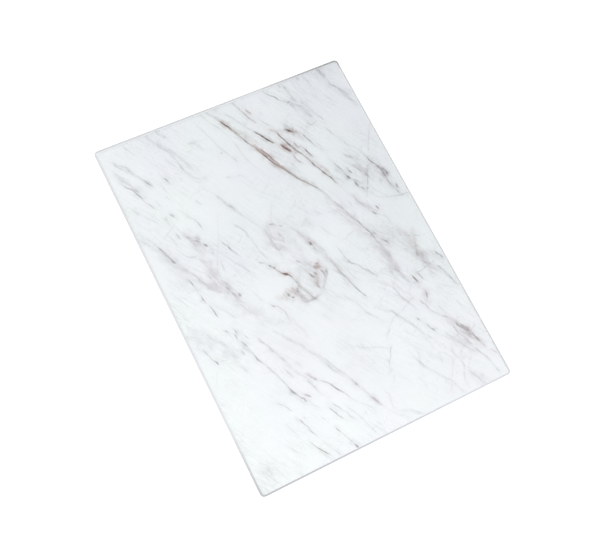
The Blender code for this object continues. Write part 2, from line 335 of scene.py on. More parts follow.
                    (85, 71, 3), (86, 67, 6), (88, 63, 6), (90, 60, 3))),
    ("umber", 2.0, ((86, 67, 6), (87, 64, 12), (89, 61, 5))),
    ("umber", 2.0, ((91, 58, 5), (91, 55, 10), (92, 51, 9), (93, 49, 3))),
    ("slate", 1.7, ((93, 50, 3), (95, 48, 9), (96, 46, 9), (98, 44, 4))),
    ("slate", 1.4, ((99, 47, 3), (100, 45, 9), (102, 44, 3))),
    ("umber", 1.8, ((90, 75, 5), (91, 71, 11), (92, 68, 10), (94, 65, 5))),
    ("ash", 1.3, ((89, 61, 4), (93, 58, 4), (96, 54, 3), (97, 50, 3))),
    ("umber", 2.8, ((95, 91, 4), (96, 87, 5), (99, 84, 6), (101, 82, 5), (104, 83, 4))),
    ("umber", 3.6, ((97, 77, 4), (100, 71, 5), (102, 66, 6), (105, 61, 5))),
    ("mauve", 2.6, ((104, 64, 4), (106, 60, 7), (107, 55, 6), (107, 52, 3))),
    ("slate", 1.3, ((92, 32, 2), (96, 39, 3), (100, 46, 4), (104, 52, 5), (107, 58, 5), (109, 63, 5),
                    (111, 66, 6), (114, 68, 5), (118, 68, 7))),
    ("slate", 1.9, ((108, 92, 1), (111, 87, 2), (114, 81, 4), (116, 76, 6), (117, 72, 9), (118, 69, 10),
                    (120, 66, 9), (121, 63, 8), (123, 58, 10), (124, 54, 9), (124, 49, 7))),
    ("sage", 3.0, ((121, 62, 5), (124, 58, 6), (126, 55, 6), (127, 52, 6), (126, 49, 5))),
    ("soot", 1.1, ((121, 65, 3), (122, 62, 9), (123, 60, 3))),
    ("soot", 1.1, ((124, 60, 3), (125, 57, 8), (126, 55, 3))),
    ("soot", 1.1, ((126, 54, 3), (127, 51, 10), (127, 49, 3))),
    ("umber", 1.5, ((122, 56, 4), (123, 53, 7), (124, 50, 6), (125, 47, 4))),
    ("slate", 2.2, ((123, 49, 3), (124, 43, 7), (125, 39, 6), (126, 36, 4), (127, 32, 5), (128, 29, 6),
                    (129, 26, 6), (131, 24, 4))),
    ("umber", 1.9, ((130, 39, 8), (130, 35, 9), (130, 31, 6))),
    ("ash", 1.3, ((101, 42, 2), (103, 35, 3), (107, 31, 3), (112, 29, 3), (118, 27, 4), (122, 26, 5),
                  (126, 25, 6), (130, 24, 7), (134, 24, 6), (138, 24, 7))),
    ("ash", 1.3, ((103, 46, 3), (107, 40, 3), (112, 33, 3), (117, 27, 2))),
    ("mauve", 3.2, ((80, 48, 3), (82, 43, 4), (83, 39, 4), (84, 35, 5), (86, 31, 5), (88, 28, 4),
                    (91, 24, 4), (93, 20, 4))),
    ("slate", 1.7, ((91, 22, 3), (93, 18, 9), (95, 16, 9), (97, 15, 3))),
    ("umber", 1.6, ((98, 26, 5), (99, 22, 13), (100, 18, 7))),
    ("ash", 1.4, ((98, 16, 3), (100, 13, 3), (103, 8, 4), (104, 4, 4), (105, 0, 3))),
    ("umber", 1.7, ((60, 47, 2), (62, 42, 3), (64, 37, 5), (66, 33, 4), (68, 28, 4), (70, 21, 5),
                    (72, 18, 7), (74, 14, 8), (75, 10, 6), (77, 6, 7), (78, 3, 9), (79, 0, 8),
                    (80, -4, 6), (81, -8, 4), (82, -13, 3))),
    ("mauve", 4.6, ((78, 3, 3), (80, -4, 3), (82, -13, 3), (84, -22, 3), (85, -32, 3), (86, -42, 3),
                    (88, -52, 3))),
    ("ash", 1.8, ((74, 41, 3), (76, 33, 4))),
    ("ash", 1.1, ((50, 38, 3), (56, 37, 3), (60, 36, 2))),
    ("ash", 1.1, ((46, 6, 2), (52, 5, 2), (58, 8, 3), (63, 9, 3), (65, 12, 2))),
    ("ash", 1.2, ((76, 29, 3), (73, 24, 3), (71, 21, 3))),
    ("mauve", 2.6, ((117, 51, 5), (117, 43, 4))),
    # Middle left, front
    ("slate", 1.4, ((-104, 1, 3), (-103, -5, 6), (-102, -10, 10), (-102, -13, 9), (-101, -18, 2))),
    ("slate", 2.4, ((-100, -3, 3), (-94, -10, 3), (-90, -17, 3), (-87, -22, 3), (-86, -27, 2))),
    ("slate", 4.2, ((-131, -17, 3), (-126, -20, 3), (-120, -27, 3), (-115, -34, 4), (-110, -40, 4),
                    (-107, -46, 3), (-105, -56, 3), (-104, -66, 3), (-100, -74, 4), (-96, -79, 2))),
    ("ash", 1.8, ((-133, -10, 2), (-132, -18, 3))),
    ("slate", 1.6, ((-129, -38, 5), (-128, -42, 7), (-126, -47, 5), (-125, -51, 5), (-123, -54, 6),
                    (-122, -56, 9), (-120, -61, 3))),
    ("ash", 1.4, ((-120, -56, 3), (-115, -57, 3), (-111, -59, 2))),
    ("ash", 1.0, ((-125, -62, 2), (-131, -75, 2), (-134, -82, 2))),
    ("slate", 1.7, ((-102, -29, 4), (-100, -32, 7), (-98, -36, 3))),
    ("slate", 1.5, ((-95, -36, 4), (-94, -40, 7), (-94, -46, 4))),
    ("slate", 1.4, ((-93, -31, 4), (-92, -36, 8), (-91, -41, 5))),
    ("slate", 1.8, ((-96, -54, 4), (-95, -58, 6), (-94, -62, 4))),
    ("slate", 2.4, ((-91, -47, 5), (-90, -51, 9), (-89, -54, 4))),
    ("slate", 1.7, ((-91, -49, 6), (-89, -52, 7), (-88, -56, 5), (-87, -61, 5), (-86, -65, 6),
                    (-85, -70, 8), (-83, -74, 6), (-81, -78, 5), (-79, -82, 6), (-77, -87, 6),
                    (-75, -92, 5), (-73, -98, 5), (-71, -104, 5), (-70, -108, 7), (-68, -113, 10),
                    (-66, -117, 7), (-64, -121, 6), (-62, -123, 10), (-61, -126, 8), (-58, -128, 3))),
    ("slate", 2.0, ((-71, -108, 4), (-69, -113, 10), (-67, -118, 3))),
    ("ash", 1.5, ((-87, -40, 2), (-85, -45, 4), (-82, -50, 2))),
    ("slate", 2.8, ((-76, -49, 3), (-74, -55, 5), (-71, -60, 4), (-69, -66, 5), (-66, -73, 5),
                    (-63, -79, 5), (-61, -84, 4), (-60, -88, 4), (-57, -96, 4), (-54, -101, 4),
                    (-51, -106, 4), (-49, -112, 5), (-47, -118, 4), (-46, -122, 3))),
    ("slate", 2.0, ((-77, -11, 5), (-74, -16, 5), (-72, -21, 3))),
    ("ash", 1.4, ((-60, -5, 2), (-57, -12, 3), (-53, -20, 2))),
    ("umber", 1.5, ((-49, -24, 4), (-47, -28, 7), (-45, -29, 5), (-43, -30, 4), (-41, -34, 4),
                    (-39, -38, 4), (-39, -43, 5), (-38, -48, 5))),
    ("slate", 3.2, ((-60, -50, 2), (-57, -53, 3), (-53, -58, 3), (-50, -62, 4), (-47, -66, 4),
                    (-42, -72, 4), (-39, -77, 4), (-36, -82, 4), (-33, -87, 4), (-31, -91, 4),
                    (-28, -97, 4), (-25, -104, 5), (-23, -109, 5), (-20, -113, 4), (-18, -117, 3),
                    (-14, -122, 3))),
    ("ash", 1.0, ((-90, -80, 2), (-86, -84, 2), (-79, -87, 2))),
    ("ash", 1.4, ((-66, -88, 3), (-64, -94, 5), (-62, -99, 5), (-61, -102, 2))),
    ("ash", 1.4, ((-53, -86, 3), (-51, -90, 4), (-49, -96, 3))),
    # Middle, front
    ("mauve", 5.0, ((-20, -19, 4), (-18, -24, 7), (-17, -30, 7), (-15, -35, 7), (-11, -38, 5))),
    ("umber", 1.6, ((-19, -21, 3), (-18, -25, 6), (-17, -28, 4))),
    ("umber", 2.0, ((-29, -21, 8), (-28, -24, 10), (-27, -27, 8))),
    ("umber", 1.8, ((-27, -27, 9), (-25, -28, 13), (-23, -28, 8))),
    ("mauve", 3.0, ((-18, -37, 5), (-14, -38, 6), (-10, -38, 5), (-5, -38, 6), (0, -37, 4), (5, -35, 3))),
    ("umber", 1.9, ((1, -11, 5), (2, -15, 9), (4, -18, 8), (6, -20, 6))),
    ("umber", 1.5, ((5, -13, 5), (7, -15, 8), (8, -18, 6))),
    ("umber", 2.6, ((2, -20, 5), (3, -24, 8), (4, -27, 8), (4, -30, 6), (5, -34, 4))),
    ("rust", 1.8, ((5, -21, 5), (5, -24, 7), (5, -27, 5))),
    ("rust", 5.0, ((7, -7, 8), (11, -9, 13), (15, -11, 15))),
    ("rust", 1.6, ((10, -7, 5), (14, -6, 7), (16, -9, 6))),
    ("umber", 1.8, ((13, -12, 6), (14, -16, 8), (15, -19, 7), (13, -25, 4))),
    ("mist", 2.8, ((20, -13, 5), (18, -18, 8), (16, -22, 8), (13, -25, 8), (11, -28, 8), (8, -31, 7),
                   (5, -35, 5))),
    ("mist", 1.4, ((-5, 0, 3), (-2, -5, 4), (0, -11, 4))),
    ("mauve", 1.6, ((22, -1, 3), (24, -6, 3), (26, -12, 2))),
    ("mauve", 3.2, ((24, 4, 3), (26, -3, 4), (28, -10, 4), (29, -17, 4), (31, -24, 4), (33, -31, 4),
                    (35, -38, 3), (38, -46, 2))),
    ("bark", 1.3, ((27, -6, 2), (29, -13, 3), (30, -20, 4), (32, -27, 4), (34, -34, 4), (36, -41, 2))),
    ("umber", 1.3, ((33, -31, 2), (34, -34, 3), (36, -41, 4), (38, -47, 8), (40, -52, 8), (42, -56, 9),
                    (44, -60, 4))),
    ("ash", 1.4, ((33, -9, 2), (36, -18, 3), (39, -27, 3), (41, -35, 3), (43, -44, 2))),
    ("ash", 1.4, ((40, 1, 3), (41, -4, 4), (42, -10, 4), (43, -15, 4))),
    ("umber", 2.2, ((42, -14, 6), (44, -18, 6), (46, -21, 5), (49, -23, 4), (52, -27, 4), (54, -31, 4),
                    (57, -34, 8), (59, -37, 7), (61, -40, 5), (64, -43, 3))),
    ("mauve", 1.6, ((-36, -51, 3), (-33, -58, 3), (-31, -63, 3), (-30, -68, 4))),
    ("ash", 1.3, ((13, -42, 2), (17, -47, 3), (21, -51, 2))),
    ("ash", 1.9, ((21, -45, 2), (25, -52, 3), (30, -59, 3), (33, -66, 3), (35, -72, 4), (39, -78, 4),
                  (43, -83, 3), (47, -91, 3))),
    ("ash", 1.2, ((-8, -56, 3), (-5, -58, 3), (-3, -62, 3), (-1, -67, 2))),
    ("mist", 1.6, ((-33, -83, 3), (-29, -90, 4), (-26, -95, 5), (-24, -99, 6), (-22, -104, 7),
                    (-20, -109, 6), (-17, -114, 6), (-14, -119, 6), (-12, -124, 6), (-10, -129, 6))),
    # Middle right, front
    ("ash", 1.2, ((63, -45, 2), (67, -43, 2), (71, -40, 2))),
    ("slate", 1.6, ((81, 1, 7), (83, -2, 7), (85, -6, 6))),
    ("soot", 1.3, ((86, -9, 4), (88, -12, 8), (90, -15, 8), (91, -18, 4))),
    ("slate", 2.8, ((78, -43, 4), (80, -51, 4))),
    ("ash", 3.6, ((84, -39, 3), (86, -48, 4), (88, -56, 4), (90, -62, 3), (92, -67, 3))),
    ("mauve", 4.2, ((105, -5, 3), (107, -9, 4), (110, -13, 5), (113, -17, 5), (115, -22, 4))),
    ("mauve", 1.8, ((106, -11, 5), (108, -17, 4))),
    ("mist", 2.0, ((119, -19, 5), (118, -25, 5), (116, -30, 5), (115, -35, 5))),
    ("slate", 1.7, ((118, -19, 4), (123, -22, 6), (128, -25, 3))),
    ("mist", 2.3, ((114, -35, 7), (113, -39, 8), (113, -43, 8))),
    ("umber", 2.0, ((113, -36, 4), (113, -40, 5), (114, -44, 3))),
    ("mauve", 4.4, ((114, -43, 4), (116, -50, 5), (118, -54, 5), (119, -58, 4), (121, -62, 3))),
    ("slate", 1.5, ((132, -43, 8), (132, -47, 9), (134, -50, 8), (135, -53, 11), (137, -55, 8))),
    ("ash", 1.2, ((130, -53, 3), (115, -55, 3), (110, -57, 4), (104, -57, 5), (99, -57, 3))),
    ("soot", 1.3, ((96, -56, 5), (97, -60, 9), (98, -64, 13), (99, -69, 5))),
    ("umber", 1.4, ((103, -55, 5), (104, -60, 7), (105, -64, 7), (106, -68, 4))),
    ("mist", 1.6, ((116, -58, 4), (117, -62, 5), (119, -67, 3))),
    ("slate", 2.8, ((125, -58, 6), (127, -61, 7), (129, -66, 6), (131, -72, 6), (133, -78, 6),
                    (135, -84, 6), (138, -89, 5))),
    ("mauve", 2.0, ((100, -76, 6), (101, -80, 7), (100, -84, 9), (99, -87, 5))),
    ("mauve", 2.5, ((91, -82, 4), (92, -87, 6), (94, -91, 6), (96, -98, 4), (100, -103, 4),
                    (103, -107, 5), (106, -110, 6), (109, -112, 4), (112, -115, 5), (114, -118, 6))),
    ("slate", 2.0, ((72, -57, 4), (73, -62, 5), (74, -67, 5), (75, -72, 5), (77, -77, 5), (80, -82, 5),
                    (82, -88, 3), (84, -95, 2))),
    ("slate", 2.4, ((45, -70, 2), (50, -76, 3), (55, -80, 3), (59, -82, 4), (61, -85, 5), (63, -89, 6),
                    (66, -94, 4), (68, -98, 4), (70, -100, 5), (72, -104, 5), (74, -108, 4),
                    (76, -112, 4), (78, -118, 3), (80, -126, 2))),
    ("ash", 1.0, ((51, -95, 4), (55, -91, 4), (59, -88, 3), (66, -87, 2), (72, -85, 3), (78, -81, 4),
                  (83, -80, 3), (90, -77, 3))),
    ("ash", 1.0, ((84, -73, 3), (88, -69, 3), (91, -66, 3))),
    ("ash", 1.0, ((119, -78, 3), (125, -83, 3), (131, -88, 2))),
    ("ash", 1.1, ((116, -75, 2), (118, -84, 2), (122, -93, 2))),
    ("ash", 1.0, ((130, -10, 2), (134, 0, 2))),
    # Front left
    ("mauve", 1.9, ((-62, -118, 4), (-58, -121, 7), (-56, -123, 9), (-54, -126, 5))),
    ("slate", 1.1, ((-88, -114, 4), (-86, -117, 6), (-83, -121, 5), (-80, -125, 6), (-79, -127, 6),
                    (-76, -130, 2))),
    ("umber", 1.1, ((-76, -138, 7), (-74, -141, 9), (-73, -145, 6), (-71, -149, 5), (-70, -154, 7),
                    (-68, -158, 4), (-66, -163, 2), (-62, -173, 2))),
    ("ash", 1.1, ((-72, -138, 3), (-70, -139, 4), (-69, -142, 3))),
    ("umber", 1.2, ((-77, -161, 3), (-74, -166, 5), (-72, -170, 6), (-70, -173, 10), (-68, -176, 9),
                    (-65, -180, 7), (-62, -184, 3))),
    ("slate", 1.2, ((-60, -176, 3), (-57, -181, 4), (-55, -185, 6), (-52, -189, 3))),
    ("ash", 1.2, ((-56, -145, 3), (-53, -149, 4), (-51, -153, 2))),
    ("ash", 1.1, ((-60, -128, 2), (-56, -133, 3), (-51, -138, 2))),
    ("ash", 1.0, ((-91, -103, 2), (-89, -111, 2))),
    ("ash", 1.1, ((-98, -153, 2), (-95, -158, 2), (-93, -163, 3), (-88, -169, 2), (-83, -174, 2))),
    ("ash", 1.1, ((-90, -135, 2), (-87, -142, 3), (-83, -153, 2))),
    # Front middle
    ("mauve", 2.6, ((-51, -100, 4), (-47, -104, 7), (-45, -108, 8), (-43, -111, 9), (-41, -114, 5))),
    ("umber", 1.5, ((-40, -113, 4), (-36, -117, 6), (-33, -120, 6), (-31, -123, 9), (-29, -127, 9),
                    (-27, -130, 9), (-24, -134, 6), (-22, -138, 5), (-20, -142, 3), (-14, -150, 2),
                    (-10, -154, 3), (-5, -160, 3), (-4, -168, 2))),
    ("mist", 2.8, ((-12, -123, 5), (-9, -130, 7), (-8, -133, 7), (-6, -138, 5), (-4, -142, 5),
                    (-2, -147, 4), (-1, -150, 6), (0, -153, 8), (1, -155, 7), (3, -159, 7),
                    (5, -162, 5), (7, -166, 3), (11, -172, 3), (15, -176, 3), (20, -181, 4),
                    (25, -187, 3))),
    ("mist", 3.6, ((17, -174, 4), (22, -176, 5), (27, -178, 5), (32, -182, 6), (36, -185, 5), (41, -188, 4))),
    ("rust", 1.6, ((-2, -148, 4), (0, -152, 6), (2, -156, 5), (5, -161, 3))),
    ("slate", 3.2, ((-12, -127, 4), (-9, -132, 6), (-7, -137, 4))),
    ("slate", 1.7, ((-40, -137, 4), (-37, -142, 6), (-35, -145, 7), (-34, -148, 4), (-30, -153, 3),
                    (-29, -157, 5), (-27, -160, 5), (-25, -164, 4))),
    ("umber", 1.3, ((-45, -140, 5), (-43, -143, 7), (-41, -147, 6), (-40, -149, 8), (-39, -152, 6),
                    (-37, -155, 6), (-35, -159, 3))),
    ("ash", 1.4, ((-29, -147, 2), (-25, -152, 3), (-22, -158, 3), (-19, -165, 3), (-17, -172, 3),
                  (-12, -187, 2))),
    ("umber", 1.1, ((-48, -160, 8), (-46, -164, 8), (-44, -168, 5), (-42, -173, 4), (-39, -179, 4),
                    (-37, -183, 3))),
    ("umber", 1.9, ((-38, -182, 8), (-37, -185, 10), (-36, -187, 9), (-36, -189, 8))),
    ("ash", 1.4, ((-47, -119, 6), (-46, -123, 4), (-43, -128, 3), (-40, -134, 3))),
    ("ash", 1.1, ((2, -96, 2), (8, -99, 2), (15, -103, 2), (22, -106, 3), (29, -109, 4), (34, -112, 4),
                  (40, -116, 3))),
    ("ash", 1.1, ((50, -96, 4), (48, -98, 5), (44, -101, 4), (41, -106, 3))),
    ("ash", 1.1, ((43, -112, 3), (40, -115, 5), (37, -120, 4), (35, -124, 5), (32, -126, 4),
                  (30, -131, 4), (28, -137, 3))),
    ("ash", 1.1, ((32, -138, 2), (29, -142, 3), (27, -146, 3), (23, -148, 3))),
    ("ash", 1.1, ((12, -150, 2), (16, -155, 3), (15, -160, 3), (14, -165, 3), (13, -171, 2))),
    # Front right
    ("slate", 1.9, ((113, -118, 6), (114, -123, 8), (117, -127, 9), (119, -131, 10), (120, -134, 8),
                    (122, -138, 8), (124, -141, 5))),
    ("mauve", 1.7, ((116, -121, 4), (118, -125, 8), (120, -128, 9), (122, -132, 6), (123, -136, 6),
                    (124, -139, 8), (125, -143, 7), (126, -147, 7), (128, -151, 6), (129, -155, 5),
                    (130, -158, 3))),
    ("soot", 1.2, ((117, -123, 3), (118, -127, 6), (119, -129, 3))),
    ("soot", 1.2, ((120, -129, 3), (121, -132, 8), (122, -135, 3))),
    ("soot", 1.2, ((125, -141, 3), (126, -145, 5), (127, -148, 3))),
    ("mauve", 1.8, ((109, -120, 4), (110, -128, 5), (112, -134, 5), (114, -138, 5), (115, -142, 6),
                    (117, -146, 6), (118, -150, 5))),
    ("mist", 2.5, ((97, -122, 3), (99, -126, 5), (101, -130, 5), (104, -135, 4), (107, -139, 4),
                    (110, -144, 5), (112, -149, 6), (115, -153, 5), (119, -156, 4))),
    ("slate", 2.4, ((118, -149, 4), (120, -155, 5), (122, -159, 4), (124, -163, 5), (126, -168, 4),
                    (127, -174, 3), (128, -179, 4), (130, -187, 3))),
    ("mauve", 1.6, ((130, -158, 3), (133, -160, 4), (135, -163, 6), (138, -168, 5))),
    ("ash", 1.4, ((80, -118, 3), (82, -122, 4), (85, -126, 3))),
    ("slate", 1.7, ((78, -97, 4), (80, -101, 8), (82, -104, 5))),
    ("umber", 1.3, ((85, -107, 5), (86, -111, 8), (87, -114, 8), (89, -117, 14), (90, -121, 7))),
    ("ash", 2.2, ((55, -125, 2), (58, -135, 2), (60, -141, 4), (63, -147, 3), (67, -153, 3),
                  (71, -158, 3), (76, -166, 3), (80, -171, 3), (86, -187, 3))),
    ("ash", 1.1, ((61, -127, 3), (63, -131, 3), (62, -136, 3), (60, -140, 4), (58, -145, 3))),
    ("mist", 1.2, ((95, -148, 3), (90, -155, 4), (86, -161, 4), (82, -168, 4), (79, -171, 4),
                  (76, -177, 4), (73, -182, 3))),
    ("mauve", 1.4, ((98, -137, 3), (97, -142, 4), (96, -148, 4), (99, -155, 3), (99, -162, 4),
                    (97, -166, 4), (95, -170, 4), (93, -176, 3), (93, -185, 2))),
    ("mist", 1.9, ((113, -152, 3), (110, -157, 4), (108, -160, 4), (104, -164, 4), (102, -170, 3),
                  (103, -176, 3))),
    ("mist", 3.4, ((103, -170, 3), (105, -177, 4), (107, -182, 4), (110, -187, 5), (112, -189, 4))),
    ("ash", 1.3, ((104, -95, 3), (106, -99, 4), (108, -103, 3), (110, -111, 2))),
    ("ash", 1.1, ((125, -98, 2), (127, -104, 3), (129, -109, 2))),
)

# Soft clouds, halos and spots, in the same form. At half its width from its path, a haze has
# faded to about a third.
HAZES = (
    # Back left
    ("slate", 9, ((-114, 133, 2),)),
    ("slate", 5, ((-129, 118, 5), (-128, 112, 5))),
    ("slate", 7, ((-130, 158, 2), (-122, 142, 4), (-116, 128, 2))),
    # Back middle
    ("bark", 7, ((1, 163, 3), (5, 154, 5), (9, 148, 5), (13, 142, 4), (17, 135, 3))),
    ("rust", 5, ((15, 130, 3), (19, 122, 3), (23, 114, 3), (26, 106, 2))),
    ("rust", 9, ((38, 143, 4), (42, 139, 4), (47, 137, 3))),
    ("rust", 7, ((40, 124, 3), (45, 116, 4), (52, 110, 2))),
    ("mauve", 9, ((-8, 186, 4),)),
    # Back right
    ("slate", 10, ((112, 186, 3), (117, 178, 4), (119, 168, 4), (124, 160, 4), (131, 150, 4))),
    ("rust", 6, ((52, 137, 3), (58, 134, 5), (61, 130, 2))),
    ("sage", 9, ((74, 163, 2), (78, 152, 3), (81, 143, 4), (80, 136, 2))),
    ("mauve", 8, ((49, 124, 2), (54, 112, 2), (60, 100, 2), (64, 90, 2), (69, 78, 1))),
    # Middle left, back
    ("mauve", 9, ((-90, 72, 3), (-86, 62, 4))),
    ("mauve", 9, ((-87, 64, 5), (-87, 45, 5), (-86, 25, 5), (-86, 17, 3))),
    ("mauve", 14, ((-92, 14, 4), (-84, 13, 6), (-80, 6, 6), (-77, -4, 5), (-74, -16, 3))),
    # Middle, back
    ("mauve", 18, ((-12, 46, 3), (-13, 34, 4), (-11, 24, 3))),
    ("slate", 7, ((-25, 33, 3), (-22, 30, 3))),
    ("mauve", 9, ((14, 27, 2), (19, 16, 3), (23, 4, 3))),
    ("mauve", 7, ((16, 39, 2), (20, 39, 4), (24, 37, 4), (27, 33, 3))),
    # Middle right, back
    ("rust", 5, ((62, 93, 2), (66, 86, 3), (69, 78, 2))),
    ("mauve", 16, ((100, 80, 3), (105, 68, 5), (106, 54, 4))),
    ("mauve", 13, ((119, 68, 3), (123, 58, 5), (125, 48, 4), (126, 36, 4), (128, 28, 3))),
    ("mauve", 12, ((62, 38, 3), (65, 28, 4), (68, 18, 5), (71, 8, 5), (75, 0, 5), (78, -12, 5),
                   (82, -22, 5), (84, -34, 5), (83, -44, 4))),
    ("sage", 6, ((56, 55, 2), (58, 48, 3), (61, 42, 2))),
    ("mauve", 8, ((84, 38, 3), (88, 28, 4), (94, 19, 4))),
    ("slate", 9, ((80, 82, 3), (85, 66, 4), (94, 52, 4), (98, 40, 2))),
    # Middle left, front
    ("slate", 9, ((-110, -50, 4), (-105, -55, 4), (-102, -58, 3))),
    ("slate", 12, ((-130, -25, 3), (-122, -38, 4))),
    ("mauve", 9, ((-70, -22, 3), (-66, -27, 4), (-61, -29, 3))),
    ("sage", 9, ((-62, -38, 2), (-48, -45, 2))),
    ("slate", 5, ((-91, -50, 4), (-88, -58, 3))),
    # Middle, front
    ("rust", 7, ((-38, -23, 4), (-30, -23, 7), (-22, -22, 8), (-16, -21, 6))),
    ("rust", 8, ((-20, -28, 4), (-17, -35, 4))),
    ("rust", 6, ((3, -16, 4), (4, -26, 5), (7, -17, 4), (12, -10, 8), (14, -17, 4))),
    ("mauve", 9, ((1, 0, 4), (4, -3, 5), (8, -6, 4))),
    ("mauve", 6, ((24, -2, 2), (29, -14, 3), (32, -28, 4), (36, -42, 4))),
    ("umber", 4, ((-15, -10, 4), (-10, -30, 3), (-4, -39, 5))),
    # Middle right, front
    ("rust", 12, ((118, -18, 3), (115, -27, 5), (113, -34, 4))),
    ("mauve", 13, ((115, -42, 5), (118, -52, 5), (121, -62, 4))),
    ("mauve", 10, ((122, -42, 3), (128, -48, 4), (134, -52, 3))),
    ("mauve", 8, ((101, -80, 5), (99, -86, 4))),
    # Front left
    ("slate", 8, ((-97, -178, 2), (-95, -186, 4))),
    ("slate", 11, ((-126, -167, 3),)),
    # Front middle
    ("mauve", 5, ((-1, -149, 4), (3, -157, 4))),
    # Front right
    ("mauve", 13, ((108, -114, 2), (112, -123, 4), (116, -132, 4), (120, -141, 3), (125, -150, 2))),
    ("rust", 7, ((115, -122, 2), (118, -129, 4), (122, -138, 4), (125, -146, 3))),
    ("slate", 9, ((100, -128, 3), (106, -138, 4), (113, -150, 4))),
    ("slate", 9, ((105, -176, 4), (111, -186, 4))),
    # Broad and faint, from the back to the front
    ("slate", 22, ((28, 136, 1), (30, 112, 3), (34, 96, 3))),
    ("slate", 16, ((98, 187, 1), (116, 187, 3), (132, 182, 2))),
    ("slate", 14, ((-122, 66, 3), (-119, 50, 3), (-114, 34, 3), (-108, 24, 3))),
    ("slate", 24, ((-4, -4, 3), (2, 12, 3), (0, 34, 2))),
    ("slate", 16, ((92, 0, 3), (95, -6, 4), (101, -18, 4), (109, -31, 5), (112, -38, 4))),
    ("slate", 50, ((-78, -40, 1), (-50, -65, 1), (-22, -90, 1), (-2, -108, 1))),
    ("slate", 26, ((-134, -184, 3), (-122, -176, 3))),
    ("slate", 36, ((-130, -140, 1),)),
)


class BOARD_PG_glass(bpy.types.PropertyGroup):
    corner_radius: FloatProperty(
        name="Corner radius", description="Radius of the pane's corners, seen from above",
        default=0.0045, min=0.002, unit="LENGTH")
    edge_land: FloatProperty(
        name="Edge land", description="Upright band that the grinding leaves between its rounds",
        default=0.0004, min=0.0, unit="LENGTH")
    corner_steps: IntProperty(
        name="Corner steps", description="Facets in a quarter turn at each corner", default=24, min=4)
    round_steps: IntProperty(
        name="Round steps", description="Facets across each round of the edge", default=12, min=3)
    face_colour: FloatVectorProperty(
        name="Face", description="Tint of the polished glass", subtype="COLOR",
        default=hex_colour("#FAFBFB"))
    edge_colour: FloatVectorProperty(
        name="Edge", description="Tint of the ground edge", subtype="COLOR",
        default=hex_colour("#D8DADD"))
    edge_roughness: FloatProperty(
        name="Edge roughness", description="How satin the ground edge is", default=0.45,
        min=0.0, max=1.0)
    back_corner_shade: FloatProperty(
        name="Back corner shade", description="Light that the edge keeps at the back right corner",
        default=0.5, min=0.0, max=1.0)
    front_corner_shade: FloatProperty(
        name="Front corner shade", description="Light that the edge keeps at the front left corner",
        default=0.68, min=0.0, max=1.0)


class BOARD_PG_print(bpy.types.PropertyGroup):
    corner_radius: FloatProperty(
        name="Corner radius", description="Radius of the trimmed film's corners",
        default=0.0024, min=0.0005, unit="LENGTH")
    columns: IntProperty(name="Columns", description="Grid faces across the film", default=260, min=8)
    rows: IntProperty(name="Rows", description="Grid faces along the film", default=340, min=8)
    corner_rows: IntProperty(
        name="Corner rows", description="Grid faces along each corner's round", default=6, min=2)
    shift_right: FloatProperty(
        name="Shift right", description="How far the veins lie to the right of their drawing",
        default=0.0007, unit="LENGTH")
    shift_back: FloatProperty(
        name="Shift back", description="How far the veins lie behind their drawing",
        default=-0.0002, unit="LENGTH")
    light_ground: FloatVectorProperty(
        name="Light ground", description="White of the marble", subtype="COLOR",
        default=hex_colour("#F8F9FC"))
    # Grey that both the painted shade towards the back right and the marble's clouds mix to
    shade_and_cloud_grey: FloatVectorProperty(
        name="Dark ground", description="Grey of the cloudier marble", subtype="COLOR",
        default=hex_colour("#E8EBEF"))
    soot: FloatVectorProperty(
        name="Soot", description="Brown-black core of the main veins", subtype="COLOR",
        default=hex_colour("#2C1E1B"))
    mist: FloatVectorProperty(
        name="Mist", description="Pale grey of the faded veins", subtype="COLOR",
        default=hex_colour("#A39DA1"))
    umber: FloatVectorProperty(
        name="Umber", description="Dark grey-brown veins", subtype="COLOR",
        default=hex_colour("#5A5150"))
    brick: FloatVectorProperty(
        name="Brick", description="Red-brown core of the darkest spots", subtype="COLOR",
        default=hex_colour("#3A1F1B"))
    bark: FloatVectorProperty(
        name="Bark", description="Yellowish brown veins", subtype="COLOR", default=hex_colour("#554A42"))
    rust: FloatVectorProperty(
        name="Rust", description="Red-brown veins", subtype="COLOR", default=hex_colour("#856860"))
    slate: FloatVectorProperty(
        name="Slate", description="Blue-grey veins", subtype="COLOR", default=hex_colour("#68666A"))
    ash: FloatVectorProperty(
        name="Ash", description="Plain grey veins", subtype="COLOR", default=hex_colour("#5F5E62"))
    mauve: FloatVectorProperty(
        name="Mauve", description="Pinkish grey veins", subtype="COLOR", default=hex_colour("#6B5D64"))
    sage: FloatVectorProperty(
        name="Sage", description="Greenish grey veins", subtype="COLOR", default=hex_colour("#6C716D"))
    vein_depth: FloatProperty(
        name="Vein depth", description="How far full ink takes a vein to its tone", default=0.275,
        min=0.0, max=2.0)
    haze_depth: FloatProperty(
        name="Haze depth", description="How far full ink takes a haze to its tone", default=0.15,
        min=0.0, max=2.0)
    # Painted shade along the print's border, beside the ground edge
    border_light: FloatProperty(
        name="Border light", description="Light that the print keeps beside the ground edge",
        default=0.91, min=0.0, max=1.0)
    border_width: FloatProperty(
        name="Border width", description="How far the ground edge's shade reaches over the print",
        default=0.0014, min=0.0001, unit="LENGTH")


